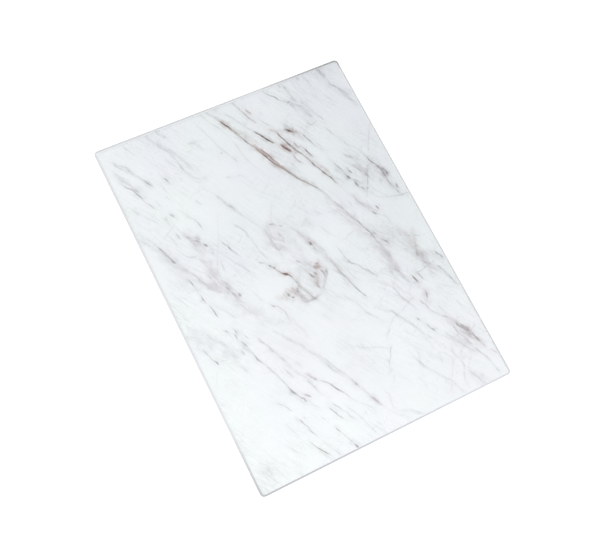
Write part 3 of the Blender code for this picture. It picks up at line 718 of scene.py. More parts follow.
class BOARD_PG_feet(bpy.types.PropertyGroup):
    segments: IntProperty(name="Segments", description="Facets round a foot", default=64, min=12)
    round_steps: IntProperty(
        name="Round steps", description="Facets across each rounded rim", default=6, min=2)
    sole_diameter: FloatProperty(
        name="Sole diameter", description="Diameter of a foot where it meets its sole's round",
        default=0.010, unit="LENGTH")
    top_round: FloatProperty(
        name="Top round", description="Radius of the rim under the glass", default=0.0003, unit="LENGTH")
    sole_round: FloatProperty(
        name="Sole round", description="Radius of the rim on the worktop", default=0.0006, unit="LENGTH")
    dish_diameter: FloatProperty(
        name="Dish diameter", description="Width of the hollow under the sole", default=0.005,
        unit="LENGTH")
    dish_depth: FloatProperty(
        name="Dish depth", description="Depth of the hollow under the sole", default=0.0004,
        unit="LENGTH")
    colour: FloatVectorProperty(
        name="Rubber", description="Colour of the milky rubber", subtype="COLOR",
        default=hex_colour("#D3D5D2"))


class BOARD_PG_studio(bpy.types.PropertyGroup):
    camera_place: FloatVectorProperty(
        name="Camera", description="Where the camera stands", subtype="TRANSLATION", unit="LENGTH",
        default=(-0.30063, -0.24007, 0.99374))
    camera_target: FloatVectorProperty(
        name="Target", description="The point in the middle of the picture", subtype="TRANSLATION",
        unit="LENGTH", default=(-0.01000, -0.01532, 0.00535))
    camera_up: FloatVectorProperty(
        name="Up", description="The direction that points up in the picture", subtype="XYZ",
        default=(0.39103, 0.86611, 0.31136))
    lens: FloatProperty(
        name="Lens", description="Focal length in mm, on a sensor 36 mm wide", default=63.74)
    sky_level: FloatProperty(
        name="Sky", description="Level of the even light from all round", default=0.80, min=0.0)
    key_power: FloatProperty(
        name="Key", description="Power of the soft lamp in watts", default=9.5, min=0.0)
    key_place: FloatVectorProperty(
        name="Key place", description="Where the soft lamp stands", subtype="TRANSLATION",
        unit="LENGTH", default=(-0.90, -0.70, 1.10))
    key_size: FloatProperty(
        name="Key size", description="Side of the square soft lamp", default=0.9, unit="LENGTH")
    floor_size: FloatProperty(
        name="Floor size", description="Side of the square floor", default=8.0, unit="LENGTH")
    floor_gap: FloatProperty(
        name="Floor gap", description="How far the floor lies under the feet", default=0.00005,
        unit="LENGTH")
    floor_lift: FloatProperty(
        name="Floor lift", description="Light added to the floor where the camera sees it",
        default=0.40, min=0.0)


class BOARD_PG_settings(bpy.types.PropertyGroup):
    glass: PointerProperty(type=BOARD_PG_glass)
    film: PointerProperty(type=BOARD_PG_print)
    feet: PointerProperty(type=BOARD_PG_feet)
    studio: PointerProperty(type=BOARD_PG_studio)


def new_tree(owner):
    """Clear a material's or a world's node tree and return it."""
    owner.use_nodes = True
    owner.node_tree.nodes.clear()
    return owner.node_tree


def node(tree, kind, inputs=None, **settings):
    """Add a node with its settings, and set or link its inputs, given by name or number.

    A node given as an input's value stands for the first output that it has in use.
    """
    made = tree.nodes.new(kind)
    for name, value in settings.items():
        setattr(made, name, value)
    for key, value in (inputs or {}).items():
        if isinstance(value, bpy.types.Node):
            value = next(socket for socket in value.outputs if socket.enabled)
        if isinstance(value, bpy.types.NodeSocket):
            tree.links.new(value, made.inputs[key])
        else:
            made.inputs[key].default_value = value
    return made


def opaque(colour):
    return (*colour, 1.0)


def new_material(name):
    """A new material, its empty tree, and the places on its piece in object coordinates."""
    material = bpy.data.materials.new(name)
    tree = new_tree(material)
    return material, tree, node(tree, "ShaderNodeTexCoord").outputs["Object"]


def finish_glass(tree, glass):
    """End a glass material's tree: lamps and bounced light pass straight through the glass."""
    clear = node(tree, "ShaderNodeBsdfTransparent")
    path = node(tree, "ShaderNodeLightPath")
    bounced = node(tree, "ShaderNodeMixShader", {0: path.outputs["Is Diffuse Ray"], 1: glass, 2: clear})
    lit = node(tree, "ShaderNodeMixShader", {0: path.outputs["Is Shadow Ray"], 1: bounced, 2: clear})
    node(tree, "ShaderNodeOutputMaterial", {"Surface": lit})


def polished_float_glass(settings):
    """Toughened float glass with fire-polished faces.

    It gives the eye a clear, nearly colourless sheet with the faintest roller wave in its
    reflections. Lamps and bounced light pass straight through it to the print.
    """
    material, tree, place = new_material("polished_float_glass")
    # Roller waves of toughened glass lie about 40 mm apart
    wave = node(tree, "ShaderNodeTexNoise", {"Vector": place, "Scale": 1 / 0.040, "Detail": 1.0})
    bump = node(tree, "ShaderNodeBump", {"Height": wave, "Strength": 0.05, "Distance": 0.0005})
    glass = node(tree, "ShaderNodeBsdfPrincipled", {
        "Base Color": opaque(settings.face_colour), "Roughness": 0.0, "IOR": 1.52,
        "Transmission Weight": 1.0, "Normal": bump})
    finish_glass(tree, glass)
    return material


# How far the painted shade on the ground edge reaches from two corners, across, along and up, in metres
PAINTED_SHADE_BACK_REACH = (0.095, 0.014, 1.0)
PAINTED_SHADE_FRONT_REACH = (0.220, 0.070, 1.0)


def pencil_ground_edge(settings):
    """The pane's edge, ground round with a fine wheel.

    It gives the eye a frosted, pale grey rim with hair-fine lines that run along it. Painted shade
    makes the rim greyer at the right of the back edge, and from the front left corner on along the front.
    """
    material, tree, place = new_material("pencil_ground_edge")
    # The wheel's lines are 12 mm long, and 0.15 mm apart, three times the real grit's, to show
    run = node(tree, "ShaderNodeMapping", {"Vector": place, "Scale": (0.012, 0.012, 0.00015)},
               vector_type="TEXTURE")
    lines = node(tree, "ShaderNodeTexNoise", {"Vector": run, "Scale": 1.0, "Detail": 2.0})
    satin = node(tree, "ShaderNodeMapRange", {
        0: lines, 1: 0.3, 2: 0.7, 3: settings.edge_roughness - 0.06, 4: settings.edge_roughness + 0.08})
    tint = node(tree, "ShaderNodeMapRange", {0: lines, 1: 0.3, 2: 0.7, 3: 0.0, 4: 1.0})
    edge = Vector(settings.edge_colour)
    colour = node(tree, "ShaderNodeMix", {
        0: tint, 6: opaque(edge * 0.97), 7: opaque(edge)}, data_type="RGBA")
    low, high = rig.box("glass_pane")
    # Painted shade: the edge's colour darkens towards the back right and the front left corners
    for corner, reach, shade in (
        (high, PAINTED_SHADE_BACK_REACH, settings.back_corner_shade),
        (low, PAINTED_SHADE_FRONT_REACH, settings.front_corner_shade),
    ):
        from_corner = node(tree, "ShaderNodeMapping", {
            "Vector": place, "Location": corner, "Scale": reach}, vector_type="TEXTURE")
        away = node(tree, "ShaderNodeVectorMath", {0: from_corner}, operation="LENGTH")
        level = node(tree, "ShaderNodeMapRange", {0: away.outputs["Value"], 1: 0.0, 2: 1.0, 3: shade, 4: 1.0})
        colour = node(tree, "ShaderNodeVectorMath", {0: colour, "Scale": level}, operation="SCALE")
    bump = node(tree, "ShaderNodeBump", {"Height": lines, "Strength": 0.25, "Distance": 0.00002})
    glass = node(tree, "ShaderNodeBsdfPrincipled", {
        "Base Color": colour, "Roughness": satin, "IOR": 1.52, "Specular IOR Level": 0.25,
        "Normal": bump})
    finish_glass(tree, glass)
    return material


# Which way the stone's streaks run, seen from above
FLOW = np.radians(-61)

# Hair-fine veins: how far they turn from the flow, the length of their waves and the distance
# between them in metres, how thin they are, and how much light they take
FAINT_VEINS = (
    (np.radians(3), 0.060, 0.0075, 0.030, 0.090),
    (np.radians(-7), 0.045, 0.0045, 0.030, 0.075),
    (np.radians(10), 0.030, 0.0024, 0.040, 0.050),
    (np.radians(95), 0.050, 0.0120, 0.012, 0.090),
)

# Strands inside a vein: how many to half its width, their length in mm, and how far apart in the
# noise two layers of veins read theirs
STRANDS_ACROSS = 1.3
STRAND_LENGTH = 7.0
LAYER_SHIFT = 7.0


def printed_marble_film(settings, layers):
    """Polyester film printed with white marble.

    It gives the eye a cool white ground with soft clouds, greyer towards the back right partly by
    painted shade, and brown and grey veins that are streaked along their run. Each layer of veins
    is read from two attributes of the film's points: the place in the vein (offset in half widths,
    run in mm, ink) and the tone.
    """
    material, tree, place = new_material("printed_marble_film")

    # Greyer towards the back right, partly painted shade and partly the marble's tone, and cloudier marble in patches
    # about 70 mm wide
    apart = node(tree, "ShaderNodeSeparateXYZ", {0: place})
    right = node(tree, "ShaderNodeMapRange", {0: apart.outputs[0], 1: -0.14, 2: 0.14, 3: 0.3, 4: 1.0})
    back = node(tree, "ShaderNodeMapRange", {0: apart.outputs[1], 1: -0.19, 2: 0.06, 3: 0.0, 4: 1.0})
    corner = node(tree, "ShaderNodeMath", {0: right, 1: back}, operation="MULTIPLY")
    clouds = node(tree, "ShaderNodeTexNoise", {"Vector": place, "Scale": 1 / 0.070, "Detail": 3.0})
    patchy = node(tree, "ShaderNodeMapRange", {0: clouds, 1: 0.3, 2: 0.7, 3: -0.18, 4: 0.18})
    shade_and_clouds = node(tree, "ShaderNodeMath", {0: corner, 1: patchy}, operation="ADD", use_clamp=True)
    shaded_clouded_ground = node(tree, "ShaderNodeMix", {
        0: shade_and_clouds, 6: opaque(settings.light_ground), 7: opaque(settings.shade_and_cloud_grey)},
        data_type="RGBA")
    # Patches of the same width lean to green or to lilac
    lean = node(tree, "ShaderNodeMapRange", {0: clouds.outputs["Color"], 1: 0.42, 2: 0.58, 3: 0.0, 4: 1.0})
    hue = node(tree, "ShaderNodeMix", {
        0: lean, 6: opaque(hex_colour("#FCFFFD")), 7: opaque(hex_colour("#FEFEFF"))}, data_type="RGBA")
    ground = node(tree, "ShaderNodeVectorMath", {0: shaded_clouded_ground, 1: hue}, operation="MULTIPLY")

    # Flow of the stone: streaks 18 mm long and 1.6 mm wide, down to the front right, and specks
    # of 1.5 mm
    flow = node(tree, "ShaderNodeMapping", {
        "Vector": place, "Rotation": (0.0, 0.0, FLOW), "Scale": (0.018, 0.0016, 0.01)},
        vector_type="TEXTURE")
    streaks = node(tree, "ShaderNodeTexNoise", {
        "Vector": flow, "Scale": 1.0, "Detail": 4.0, "Distortion": 0.6})
    grain = node(tree, "ShaderNodeTexNoise", {"Vector": place, "Scale": 1 / 0.0015, "Detail": 2.0})
    faint = node(tree, "ShaderNodeMapRange", {0: streaks, 1: 0.3, 2: 0.7, 3: 1.006, 4: 0.984})
    speckle = node(tree, "ShaderNodeMapRange", {0: grain, 1: 0.3, 2: 0.7, 3: 0.979, 4: 1.014})
    texture = node(tree, "ShaderNodeMath", {0: faint, 1: speckle}, operation="MULTIPLY")

    # Hair-fine veins: the lines where a stretched noise crosses its middle, stronger in some
    # patches, about 55 mm wide, than in others
    patches = node(tree, "ShaderNodeTexNoise", {"Vector": place, "Scale": 1 / 0.055, "Detail": 2.0})
    for turn, length, apart_by, thin, amount in FAINT_VEINS:
        drawn = node(tree, "ShaderNodeMapping", {
            "Vector": place, "Location": (length, apart_by, thin), "Rotation": (0.0, 0.0, FLOW + turn),
            "Scale": (length, apart_by, 0.01)}, vector_type="TEXTURE")
        wander = node(tree, "ShaderNodeTexNoise", {
            "Vector": drawn, "Scale": 1.0, "Detail": 2.0, "Distortion": 0.9})
        from_middle = node(tree, "ShaderNodeMath", {0: wander, 1: 0.5}, operation="SUBTRACT")
        off_line = node(tree, "ShaderNodeMath", {0: from_middle}, operation="ABSOLUTE")
        line = node(tree, "ShaderNodeMapRange", {0: off_line, 1: 0.0, 2: thin, 3: 1.0, 4: 0.0},
                    interpolation_type="SMOOTHSTEP")
        amount_here = node(tree, "ShaderNodeMapRange", {0: patches, 1: 0.4, 2: 0.62, 3: 0.0, 4: amount})
        shade = node(tree, "ShaderNodeMath", {0: line, 1: amount_here}, operation="MULTIPLY")
        left_over = node(tree, "ShaderNodeMath", {0: 1.0, 1: shade}, operation="SUBTRACT")
        texture = node(tree, "ShaderNodeMath", {0: texture, 1: left_over}, operation="MULTIPLY")
    stone = node(tree, "ShaderNodeVectorMath", {0: ground, "Scale": texture}, operation="SCALE")

    # Hazes, mottled in patches of 12 by 4 mm along the flow
    veil = node(tree, "ShaderNodeAttribute", attribute_name="veil")
    cloud_flow = node(tree, "ShaderNodeMapping", {
        "Vector": place, "Rotation": (0.0, 0.0, FLOW), "Scale": (0.012, 0.004, 0.01)},
        vector_type="TEXTURE")
    mottle = node(tree, "ShaderNodeTexNoise", {
        "Vector": cloud_flow, "Scale": 1.0, "Detail": 5.0, "Roughness": 0.65, "Distortion": 0.8})
    thickness = node(tree, "ShaderNodeMapRange", {0: mottle, 1: 0.35, 2: 0.65, 3: 0.2, 4: 1.8})
    haze = node(tree, "ShaderNodeGamma", {"Color": veil.outputs["Color"], "Gamma": thickness})
    hazed = node(tree, "ShaderNodeVectorMath", {0: stone, 1: haze}, operation="MULTIPLY")
    # Painted shade along the print's left and back borders, where the ground edge would shade it
    border = node(tree, "ShaderNodeAttribute", attribute_name="border")
    colour = node(tree, "ShaderNodeVectorMath", {
        0: hazed, 1: border.outputs["Color"]}, operation="MULTIPLY")

    for layer in range(layers):
        vein = node(tree, "ShaderNodeAttribute", attribute_name=f"vein_{layer}").outputs["Vector"]
        tone = node(tree, "ShaderNodeAttribute", attribute_name=f"tone_{layer}").outputs["Color"]
        inside = node(tree, "ShaderNodeSeparateXYZ", {0: vein})
        # Strands that run along the vein, in their own part of the noise for each layer
        fibre_place = node(tree, "ShaderNodeVectorMath", {
            0: vein, 1: (STRANDS_ACROSS, 1 / STRAND_LENGTH, 0.0), 2: (0.0, 0.0, LAYER_SHIFT * layer)},
            operation="MULTIPLY_ADD")
        fibres = node(tree, "ShaderNodeTexNoise", {
            "Vector": fibre_place, "Scale": 1.0, "Detail": 4.0, "Roughness": 0.62})
        pair = node(tree, "ShaderNodeSeparateXYZ", {0: fibres.outputs["Color"]})
        wobble = node(tree, "ShaderNodeMapRange", {0: pair.outputs[0], 1: 0.3, 2: 0.7, 3: -0.6, 4: 0.6})
        shifted = node(tree, "ShaderNodeMath", {0: inside.outputs[0], 1: wobble}, operation="ADD")
        gap = node(tree, "ShaderNodeMath", {0: shifted}, operation="ABSOLUTE")
        # Darkest along the middle, and gone at one and a half times half the width
        profile = node(tree, "ShaderNodeMapRange", {0: gap, 1: 1.5, 2: 0.0, 3: 0.0, 4: 1.0},
                       interpolation_type="SMOOTHSTEP")
        streak = node(tree, "ShaderNodeMapRange", {0: pair.outputs[1], 1: 0.32, 2: 0.68, 3: 0.25, 4: 1.75})
        from_strand = node(tree, "ShaderNodeMath", {0: pair.outputs[2], 1: 0.5}, operation="SUBTRACT")
        off_strand = node(tree, "ShaderNodeMath", {0: from_strand}, operation="ABSOLUTE")
        strand = node(tree, "ShaderNodeMapRange", {0: off_strand, 1: 0.0, 2: 0.1, 3: 1.6, 4: 0.6},
                      interpolation_type="SMOOTHSTEP")
        body = node(tree, "ShaderNodeMath", {0: streak, 1: strand}, operation="MULTIPLY")
        ink = node(tree, "ShaderNodeMath", {0: inside.outputs[2], 1: profile}, operation="MULTIPLY")
        depth = node(tree, "ShaderNodeMath", {0: ink, 1: body}, operation="MULTIPLY")
        printed = node(tree, "ShaderNodeGamma", {"Color": tone, "Gamma": depth})
        colour = node(tree, "ShaderNodeVectorMath", {0: colour, 1: printed}, operation="MULTIPLY")

    film = node(tree, "ShaderNodeBsdfPrincipled", {
        "Base Color": colour, "Roughness": 0.4, "Specular IOR Level": 0.2})
    node(tree, "ShaderNodeOutputMaterial", {"Surface": film})
    return material


def white_backing_coat():
    """Screen-printed white ink that protects the film.

    It gives the eye a matt white face with a faint mottle from the squeegee.
    """
    material, tree, place = new_material("white_backing_coat")
    # Mottle patches of 3 mm, and mesh marks 0.4 mm apart, coarser than the real ones, to show
    mottle = node(tree, "ShaderNodeTexNoise", {"Vector": place, "Scale": 1 / 0.003, "Detail": 4.0})
    mesh_marks = node(tree, "ShaderNodeTexNoise", {"Vector": place, "Scale": 1 / 0.0004, "Detail": 1.0})
    colour = node(tree, "ShaderNodeMix", {
        0: mottle, 6: opaque(hex_colour("#E9E9E6")), 7: opaque(hex_colour("#F3F3F1"))},
        data_type="RGBA")
    bump = node(tree, "ShaderNodeBump", {"Height": mesh_marks, "Strength": 0.2, "Distance": 0.00002})
    coat = node(tree, "ShaderNodeBsdfPrincipled", {
        "Base Color": colour, "Roughness": 0.6, "Normal": bump})
    node(tree, "ShaderNodeOutputMaterial", {"Surface": coat})
    return material


def moulded_clear_rubber(settings):
    """Moulded elastomer bumper.

    It gives the eye a milky, slightly see-through pad with a satin skin.
    """
    material, tree, place = new_material("moulded_clear_rubber")
    # Cloudiness inside the pad in 2 mm patches, and a mould texture of 0.2 mm
    clouds = node(tree, "ShaderNodeTexNoise", {"Vector": place, "Scale": 1 / 0.002, "Detail": 2.0})
    skin = node(tree, "ShaderNodeTexNoise", {"Vector": place, "Scale": 1 / 0.0002, "Detail": 2.0})
    milky = Vector(settings.colour)
    colour = node(tree, "ShaderNodeMix", {
        0: clouds, 6: opaque(milky * 0.9), 7: opaque(milky)}, data_type="RGBA")
    satin = node(tree, "ShaderNodeMapRange", {0: skin, 1: 0.3, 2: 0.7, 3: 0.38, 4: 0.5})
    bump = node(tree, "ShaderNodeBump", {"Height": skin, "Strength": 0.3, "Distance": 0.00003})
    rubber = node(tree, "ShaderNodeBsdfPrincipled", {
        "Base Color": colour, "Roughness": satin, "IOR": 1.49, "Transmission Weight": 0.35,
        "Normal": bump})
    node(tree, "ShaderNodeOutputMaterial", {"Surface": rubber})
    return material


def die_cut_adhesive():
    """Clear acrylic adhesive on a carrier film.

    It gives the eye a yellowish clear disc with tiny trapped bubbles.
    """
    material, tree, place = new_material("die_cut_adhesive")
    # Bubbles lie about 0.8 mm apart
    bubbles = node(tree, "ShaderNodeTexVoronoi", {"Vector": place, "Scale": 1 / 0.0008})
    spots = node(tree, "ShaderNodeMapRange", {0: bubbles.outputs["Distance"], 1: 0.1, 2: 0.3, 3: 1.0, 4: 0.0})
    colour = node(tree, "ShaderNodeMix", {
        0: spots, 6: opaque(hex_colour("#D9D8CC")), 7: opaque(hex_colour("#EDECE4"))},
        data_type="RGBA")
    glue = node(tree, "ShaderNodeBsdfPrincipled", {
        "Base Color": colour, "Roughness": 0.5, "IOR": 1.47, "Transmission Weight": 0.3})
    node(tree, "ShaderNodeOutputMaterial", {"Surface": glue})
    return material


def new_piece(name, points, faces, materials):
    """A smooth-shaded mesh object, with its place in its mesh."""
    mesh = bpy.data.meshes.new(name)
    mesh.from_pydata(points.tolist(), [], faces)
    mesh.shade_smooth()
    for material in materials:
        mesh.materials.append(material)
    piece = bpy.data.objects.new(name, mesh)
    bpy.context.scene.collection.objects.link(piece)
    return piece


def stand_for(piece, node_name, slot):
    """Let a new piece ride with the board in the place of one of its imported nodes."""
    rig.ride(piece, BODY)
    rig.replaces(piece, node_name)
    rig.slot(piece, slot)


def ring_quads(rings, around):
    """Faces between closed rings of points, facing out where the rings run anticlockwise."""
    ring = np.arange(rings - 1)[:, None] * around
    first = np.arange(around)
    second = (first + 1) % around
    quads = np.stack([ring + first, ring + second, ring + around + second, ring + around + first], axis=-1)
    return quads.reshape(-1, 4).tolist()


def pane_surface(settings, low, high):
    """Points and faces of the glass pane.

    Round the outline, a direction turns a quarter at each corner. A point is its corner's centre
    plus the direction times the corner radius less an inset. Up the edge, the inset and the
    height follow a quarter circle, the upright land, and a second quarter circle.
    """
    quarter = np.linspace(0.0, np.pi / 2, settings.corner_steps + 1)
    turn = (np.arange(4)[:, None] * np.pi / 2 + quarter).ravel()
    direction = np.stack([np.cos(turn), np.sin(turn)], axis=-1)
    sides = np.array([(1, 1), (-1, 1), (-1, -1), (1, -1)])
    reach = (np.array(high[:2]) - np.array(low[:2])) / 2 - settings.corner_radius
    centre = np.repeat(sides * reach, len(quarter), axis=0)

    radius = (high.z - low.z - settings.edge_land) / 2
    climb = np.linspace(0.0, np.pi / 2, settings.round_steps + 1)
    upper_inset = radius * (1 - np.cos(climb))
    upper_height = settings.edge_land / 2 + radius * np.sin(climb)
    inset = np.concatenate([upper_inset[::-1], upper_inset])
    height = (low.z + high.z) / 2 + np.concatenate([-upper_height[::-1], upper_height])

    flat = centre + (settings.corner_radius - inset)[:, None, None] * direction
    rise = np.broadcast_to(height[:, None, None], (*flat.shape[:2], 1))
    points = np.concatenate([flat, rise], axis=-1).reshape(-1, 3)
    around = len(turn)
    last = points.shape[0] - around
    lower_face = list(range(around - 1, -1, -1))
    upper_face = list(range(last, last + around))
    return points, ring_quads(len(height), around) + [lower_face, upper_face]


class BOARD_OT_glass_pane(bpy.types.Operator):
    """Grind the toughened glass pane, with its rounded corners and edge"""
    bl_idname = "board.glass_pane"
    bl_label = "Glass Pane"

    def execute(self, context):
        settings = context.scene.glass_board.glass
        points, faces = pane_surface(settings, *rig.box("glass_pane"))
        materials = (pencil_ground_edge(settings), polished_float_glass(settings))
        pane = new_piece("toughened_glass_pane", points, faces, materials)
        mesh = pane.data
        for face in mesh.polygons[-2:]:
            face.use_smooth = False
            face.material_index = 1
        stand_for(pane, "glass_pane", "toughened_glass")
        return {"FINISHED"}


def film_surface(settings, low, high):
    """Points and faces of the printed film, with the width and height of its grid of points.

    Along the film, a row's height runs round the corner's arc, straight, and round again. Across
    it, a point's x is its share of the row's half width, which the arc narrows near the ends.
    The side and the lower face hang from the border of this grid.
    """
    half = (np.array(high[:2]) - np.array(low[:2])) / 2
    radius = settings.corner_radius
    bend = np.linspace(0.0, np.pi / 2, settings.corner_rows + 1)
    straight = np.linspace(-1.0, 1.0, settings.rows + 1) * (half[1] - radius)
    end = half[1] - radius + radius * np.sin(bend[1:])
    row_y = np.concatenate([-end[::-1], straight, end])
    narrow = half[0] - radius + radius * np.cos(bend[1:])
    row_half = np.concatenate([narrow[::-1], np.full(len(straight), half[0]), narrow])
    share = np.linspace(-1.0, 1.0, settings.columns + 1)
    x = row_half[:, None] * share
    y = np.broadcast_to(row_y[:, None], x.shape)

    rows, columns = x.shape
    index = np.arange(rows * columns).reshape(rows, columns)
    quads = np.stack([index[:-1, :-1], index[:-1, 1:], index[1:, 1:], index[1:, :-1]], axis=-1)
    border = np.concatenate([index[0, :-1], index[:-1, -1], index[-1, :0:-1], index[:0:-1, 0]])
    top = np.stack([x.ravel(), y.ravel(), np.full(x.size, high.z)], axis=-1)
    under = top[border]
    under[:, 2] = low.z
    hung = x.size + np.arange(len(border))
    walls = np.stack([hung, np.roll(hung, -1), np.roll(border, -1), border], axis=-1)
    faces = quads.reshape(-1, 4).tolist() + walls.tolist() + [hung[::-1].tolist()]
    return np.concatenate([top, under]), faces, x / MM, y / MM


def smooth_path(points, step):
    """A Catmull-Rom curve through rows of numbers, sampled about every step of its first two."""
    points = np.array(points, dtype=float)
    if len(points) == 1:
        return points
    ends = np.concatenate([2 * points[:1] - points[1:2], points, 2 * points[-1:] - points[-2:-1]])
    pieces = []
    for before, start, stop, after in zip(ends, ends[1:], ends[2:], ends[3:]):
        count = max(2, int(np.hypot(*(stop - start)[:2]) / step))
        t = np.linspace(0.0, 1.0, count, endpoint=False)[:, None]
        pieces.append(0.5 * (2 * start + (stop - before) * t
                             + (2 * before - 5 * start + 4 * stop - after) * t ** 2
                             + (3 * start - before - 3 * stop + after) * t ** 3))
    return np.concatenate(pieces + [points[-1:]])


def near_window(x, y, path, reach):
    """The rows and columns of the grid within reach of a path."""
    middle = x[len(x) // 2]
    rows = np.searchsorted(y[:, 0], (path[:, 1].min() - reach, path[:, 1].max() + reach))
    columns = np.searchsorted(middle, (path[:, 0].min() - reach, path[:, 0].max() + reach))
    return slice(*rows), slice(*columns)


def nearest(x, y, path):
    """For each grid point, the nearest sample of a path and the way from that sample to it."""
    away = (x[..., None] - path[:, 0]) ** 2 + (y[..., None] - path[:, 1]) ** 2
    found = away.argmin(axis=-1)
    return found, x - path[found, 0], y - path[found, 1]


# The ink of a stroke's points is in tenths
INK_UNIT = 10
# A vein is sampled about every so many mm
VEIN_STEP = 0.6
# A vein's place is kept this far past its side, in mm, so that the grid never cuts it short
VEIN_MARGIN = 2.7
# A little over the diagonal of the film's grid, whose points lie about 1.1 mm apart, in mm
GRID_STEP = 1.6
# A vein thins out over this many mm at each end, or a third of a short one, to this share of its
# width
POINTED_END = 4.0
END_SHARE = 0.45
# The most ink that counts, and the power that takes ink to darkness
MOST_INK = 1.6
INK_POWER = 1.5
# A wide vein spreads its ink: it is divided by the first, plus the second for each mm of width
LEAST_SPREAD = 0.8
SPREAD_PER_MM = 0.1
# Where there is no vein, the offset in half widths is past any vein's side
FAR_OFFSET = 6.0


def lay_veins(settings, x, y):
    """Layers of veins that keep clear of each other, as pairs of place and tone at each point.

    A grid point's place in a vein is its signed distance from the vein's path in half widths,
    the run along the path, and the ink, which fades at both ends and in the margin's last mm.
    """
    layers = []
    for tone, width, points in VEINS:
        path = smooth_path(points, VEIN_STEP)
        steps = np.gradient(path[:, :2], axis=0)
        tangent = steps / np.hypot(steps[:, 0], steps[:, 1])[:, None]
        run = np.concatenate([[0.0], np.cumsum(np.hypot(*np.diff(path[:, :2], axis=0).T))])
        pointed = min(POINTED_END, run[-1] / 3)
        fade = np.clip(np.minimum(run, run[-1] - run) / pointed, 0.0, 1.0)
        half = width / 2 * (END_SHARE + (1 - END_SHARE) * fade)
        ink = np.clip(path[:, 2] / INK_UNIT, 0.0, MOST_INK) ** INK_POWER * settings.vein_depth * fade
        ink = ink / (LEAST_SPREAD + SPREAD_PER_MM * width)

        reach = width / 2 + VEIN_MARGIN + GRID_STEP
        window = near_window(x, y, path, reach)
        found, dx, dy = nearest(x[window], y[window], path)
        across = dy * tangent[found, 0] - dx * tangent[found, 1]
        along = dx * tangent[found, 0] + dy * tangent[found, 1]
        gap = np.hypot(dx, dy) - half[found]
        taken = gap < VEIN_MARGIN
        free = [layer for layer in layers if not (layer["claimed"][window] & taken).any()]
        if free:
            layer = free[0]
        else:
            layer = {
                "claimed": np.zeros(x.shape, bool),
                "vein": np.tile([FAR_OFFSET, 0.0, 0.0], (*x.shape, 1)),
                "tone": np.ones((*x.shape, 3)),
            }
            layers.append(layer)
        layer["claimed"][window] |= gap < VEIN_MARGIN + GRID_STEP
        strength = ink[found] * np.clip(VEIN_MARGIN - gap, 0.0, 1.0)
        place = np.stack([across / half[found], run[found] + along, strength], axis=-1)
        layer["vein"][window][taken] = place[taken]
        layer["tone"][window][taken] = getattr(settings, tone)
    return layers


# A vein stains the stone beside it: how much wider the stain is, in mm, and its share of the ink
STAIN_WIDTH = 4.5
STAIN_SHARE = 0.25
# A haze is sampled about every so many mm, and has faded out at this many times its width
HAZE_STEP = 1.0
HAZE_REACH = 1.5
# About the most that a haze's outline wanders, in mm
DRIFT_REACH = 2


def drifted(x, y):
    """Grid places shifted by sines of sines, so that a haze's outline wanders.

    The sines are 6 to 32 mm long, and together they shift a place by 2 mm or so at most.
    """
    shift_x = 1.1 * np.sin(y / 2.3 + 1.7 * np.sin(x / 5.1)) + 0.7 * np.sin(x / 1.4 + y / 1.9)
    shift_y = 1.3 * np.sin(x / 2.9 + 1.4 * np.sin(y / 4.7)) + 0.8 * np.sin(y / 1.7 - x / 1.3)
    return x + shift_x, y + shift_y


def lay_hazes(settings, x, y):
    """The veil of soft hazes: each takes light by its tone.

    The ink along its path fades by the bell curve of the distance from it, over half its width.
    """
    veil = np.ones((*x.shape, 3))
    stains = [(tone, width + STAIN_WIDTH, np.array(points) * (1, 1, STAIN_SHARE))
              for tone, width, points in VEINS]
    near_x, near_y = drifted(x, y)
    for tone, width, points in [*HAZES, *stains]:
        path = smooth_path(points, HAZE_STEP)
        window = near_window(x, y, path, HAZE_REACH * width + DRIFT_REACH)
        found, dx, dy = nearest(near_x[window], near_y[window], path)
        spread = np.exp(-(dx ** 2 + dy ** 2) / (width / 2) ** 2)
        ink = path[found, 2] / INK_UNIT * settings.haze_depth * spread
        veil[window] *= np.array(getattr(settings, tone)) ** ink[..., None]
    return veil


def painted_border_shade(settings, x, y):
    """Painted shade: the print keeps all its light, less a share along its left and back borders.

    The share follows the bell curve of the distance to those borders, over the border's width.
    """
    distance = np.minimum(x - x.min(), y.max() - y) * MM
    shade = (1 - settings.border_light) * np.exp(-(distance / settings.border_width) ** 2)
    return np.repeat(1 - shade[..., None], 3, axis=-1)


def store(mesh, name, values):
    """Keep three numbers for each point of the mesh's grid, under a name that a material reads."""
    full = np.zeros((len(mesh.vertices), 3), dtype=np.float32)
    flat = values.reshape(-1, 3)
    full[:len(flat)] = flat
    mesh.attributes.new(name, "FLOAT_VECTOR", "POINT").data.foreach_set("vector", full.ravel())


class BOARD_OT_marble_print(bpy.types.Operator):
    """Print the marble on the film and lay it under the glass"""
    bl_idname = "board.marble_print"
    bl_label = "Marble Print"

    def execute(self, context):
        settings = context.scene.glass_board.film
        points, faces, x, y = film_surface(settings, *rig.box("marble_print"))
        border = painted_border_shade(settings, x, y)
        x = x - settings.shift_right / MM
        y = y - settings.shift_back / MM
        layers = lay_veins(settings, x, y)
        material = printed_marble_film(settings, len(layers))
        film = new_piece("printed_marble_sheet", points, faces, (material,))
        film.data.shade_flat()
        store(film.data, "border", border)
        store(film.data, "veil", lay_hazes(settings, x, y))
        for number, layer in enumerate(layers):
            store(film.data, f"vein_{number}", layer["vein"])
            store(film.data, f"tone_{number}", layer["tone"])
        stand_for(film, "marble_print", "marble_print")
        return {"FINISHED"}


class BOARD_OT_white_backing(bpy.types.Operator):
    """Coat the back of the print white"""
    bl_idname = "board.white_backing"
    bl_label = "White Backing"

    def execute(self, context):
        frame["nodes"]["white_backing"].data.materials[0] = white_backing_coat()
        return {"FINISHED"}


def arc(centre, radius, start, stop, steps):
    """Points round a circle's centre, from one angle to another."""
    angle = np.linspace(start, stop, steps + 1)
    return np.array(centre) + radius * np.stack([np.cos(angle), np.sin(angle)], axis=-1)


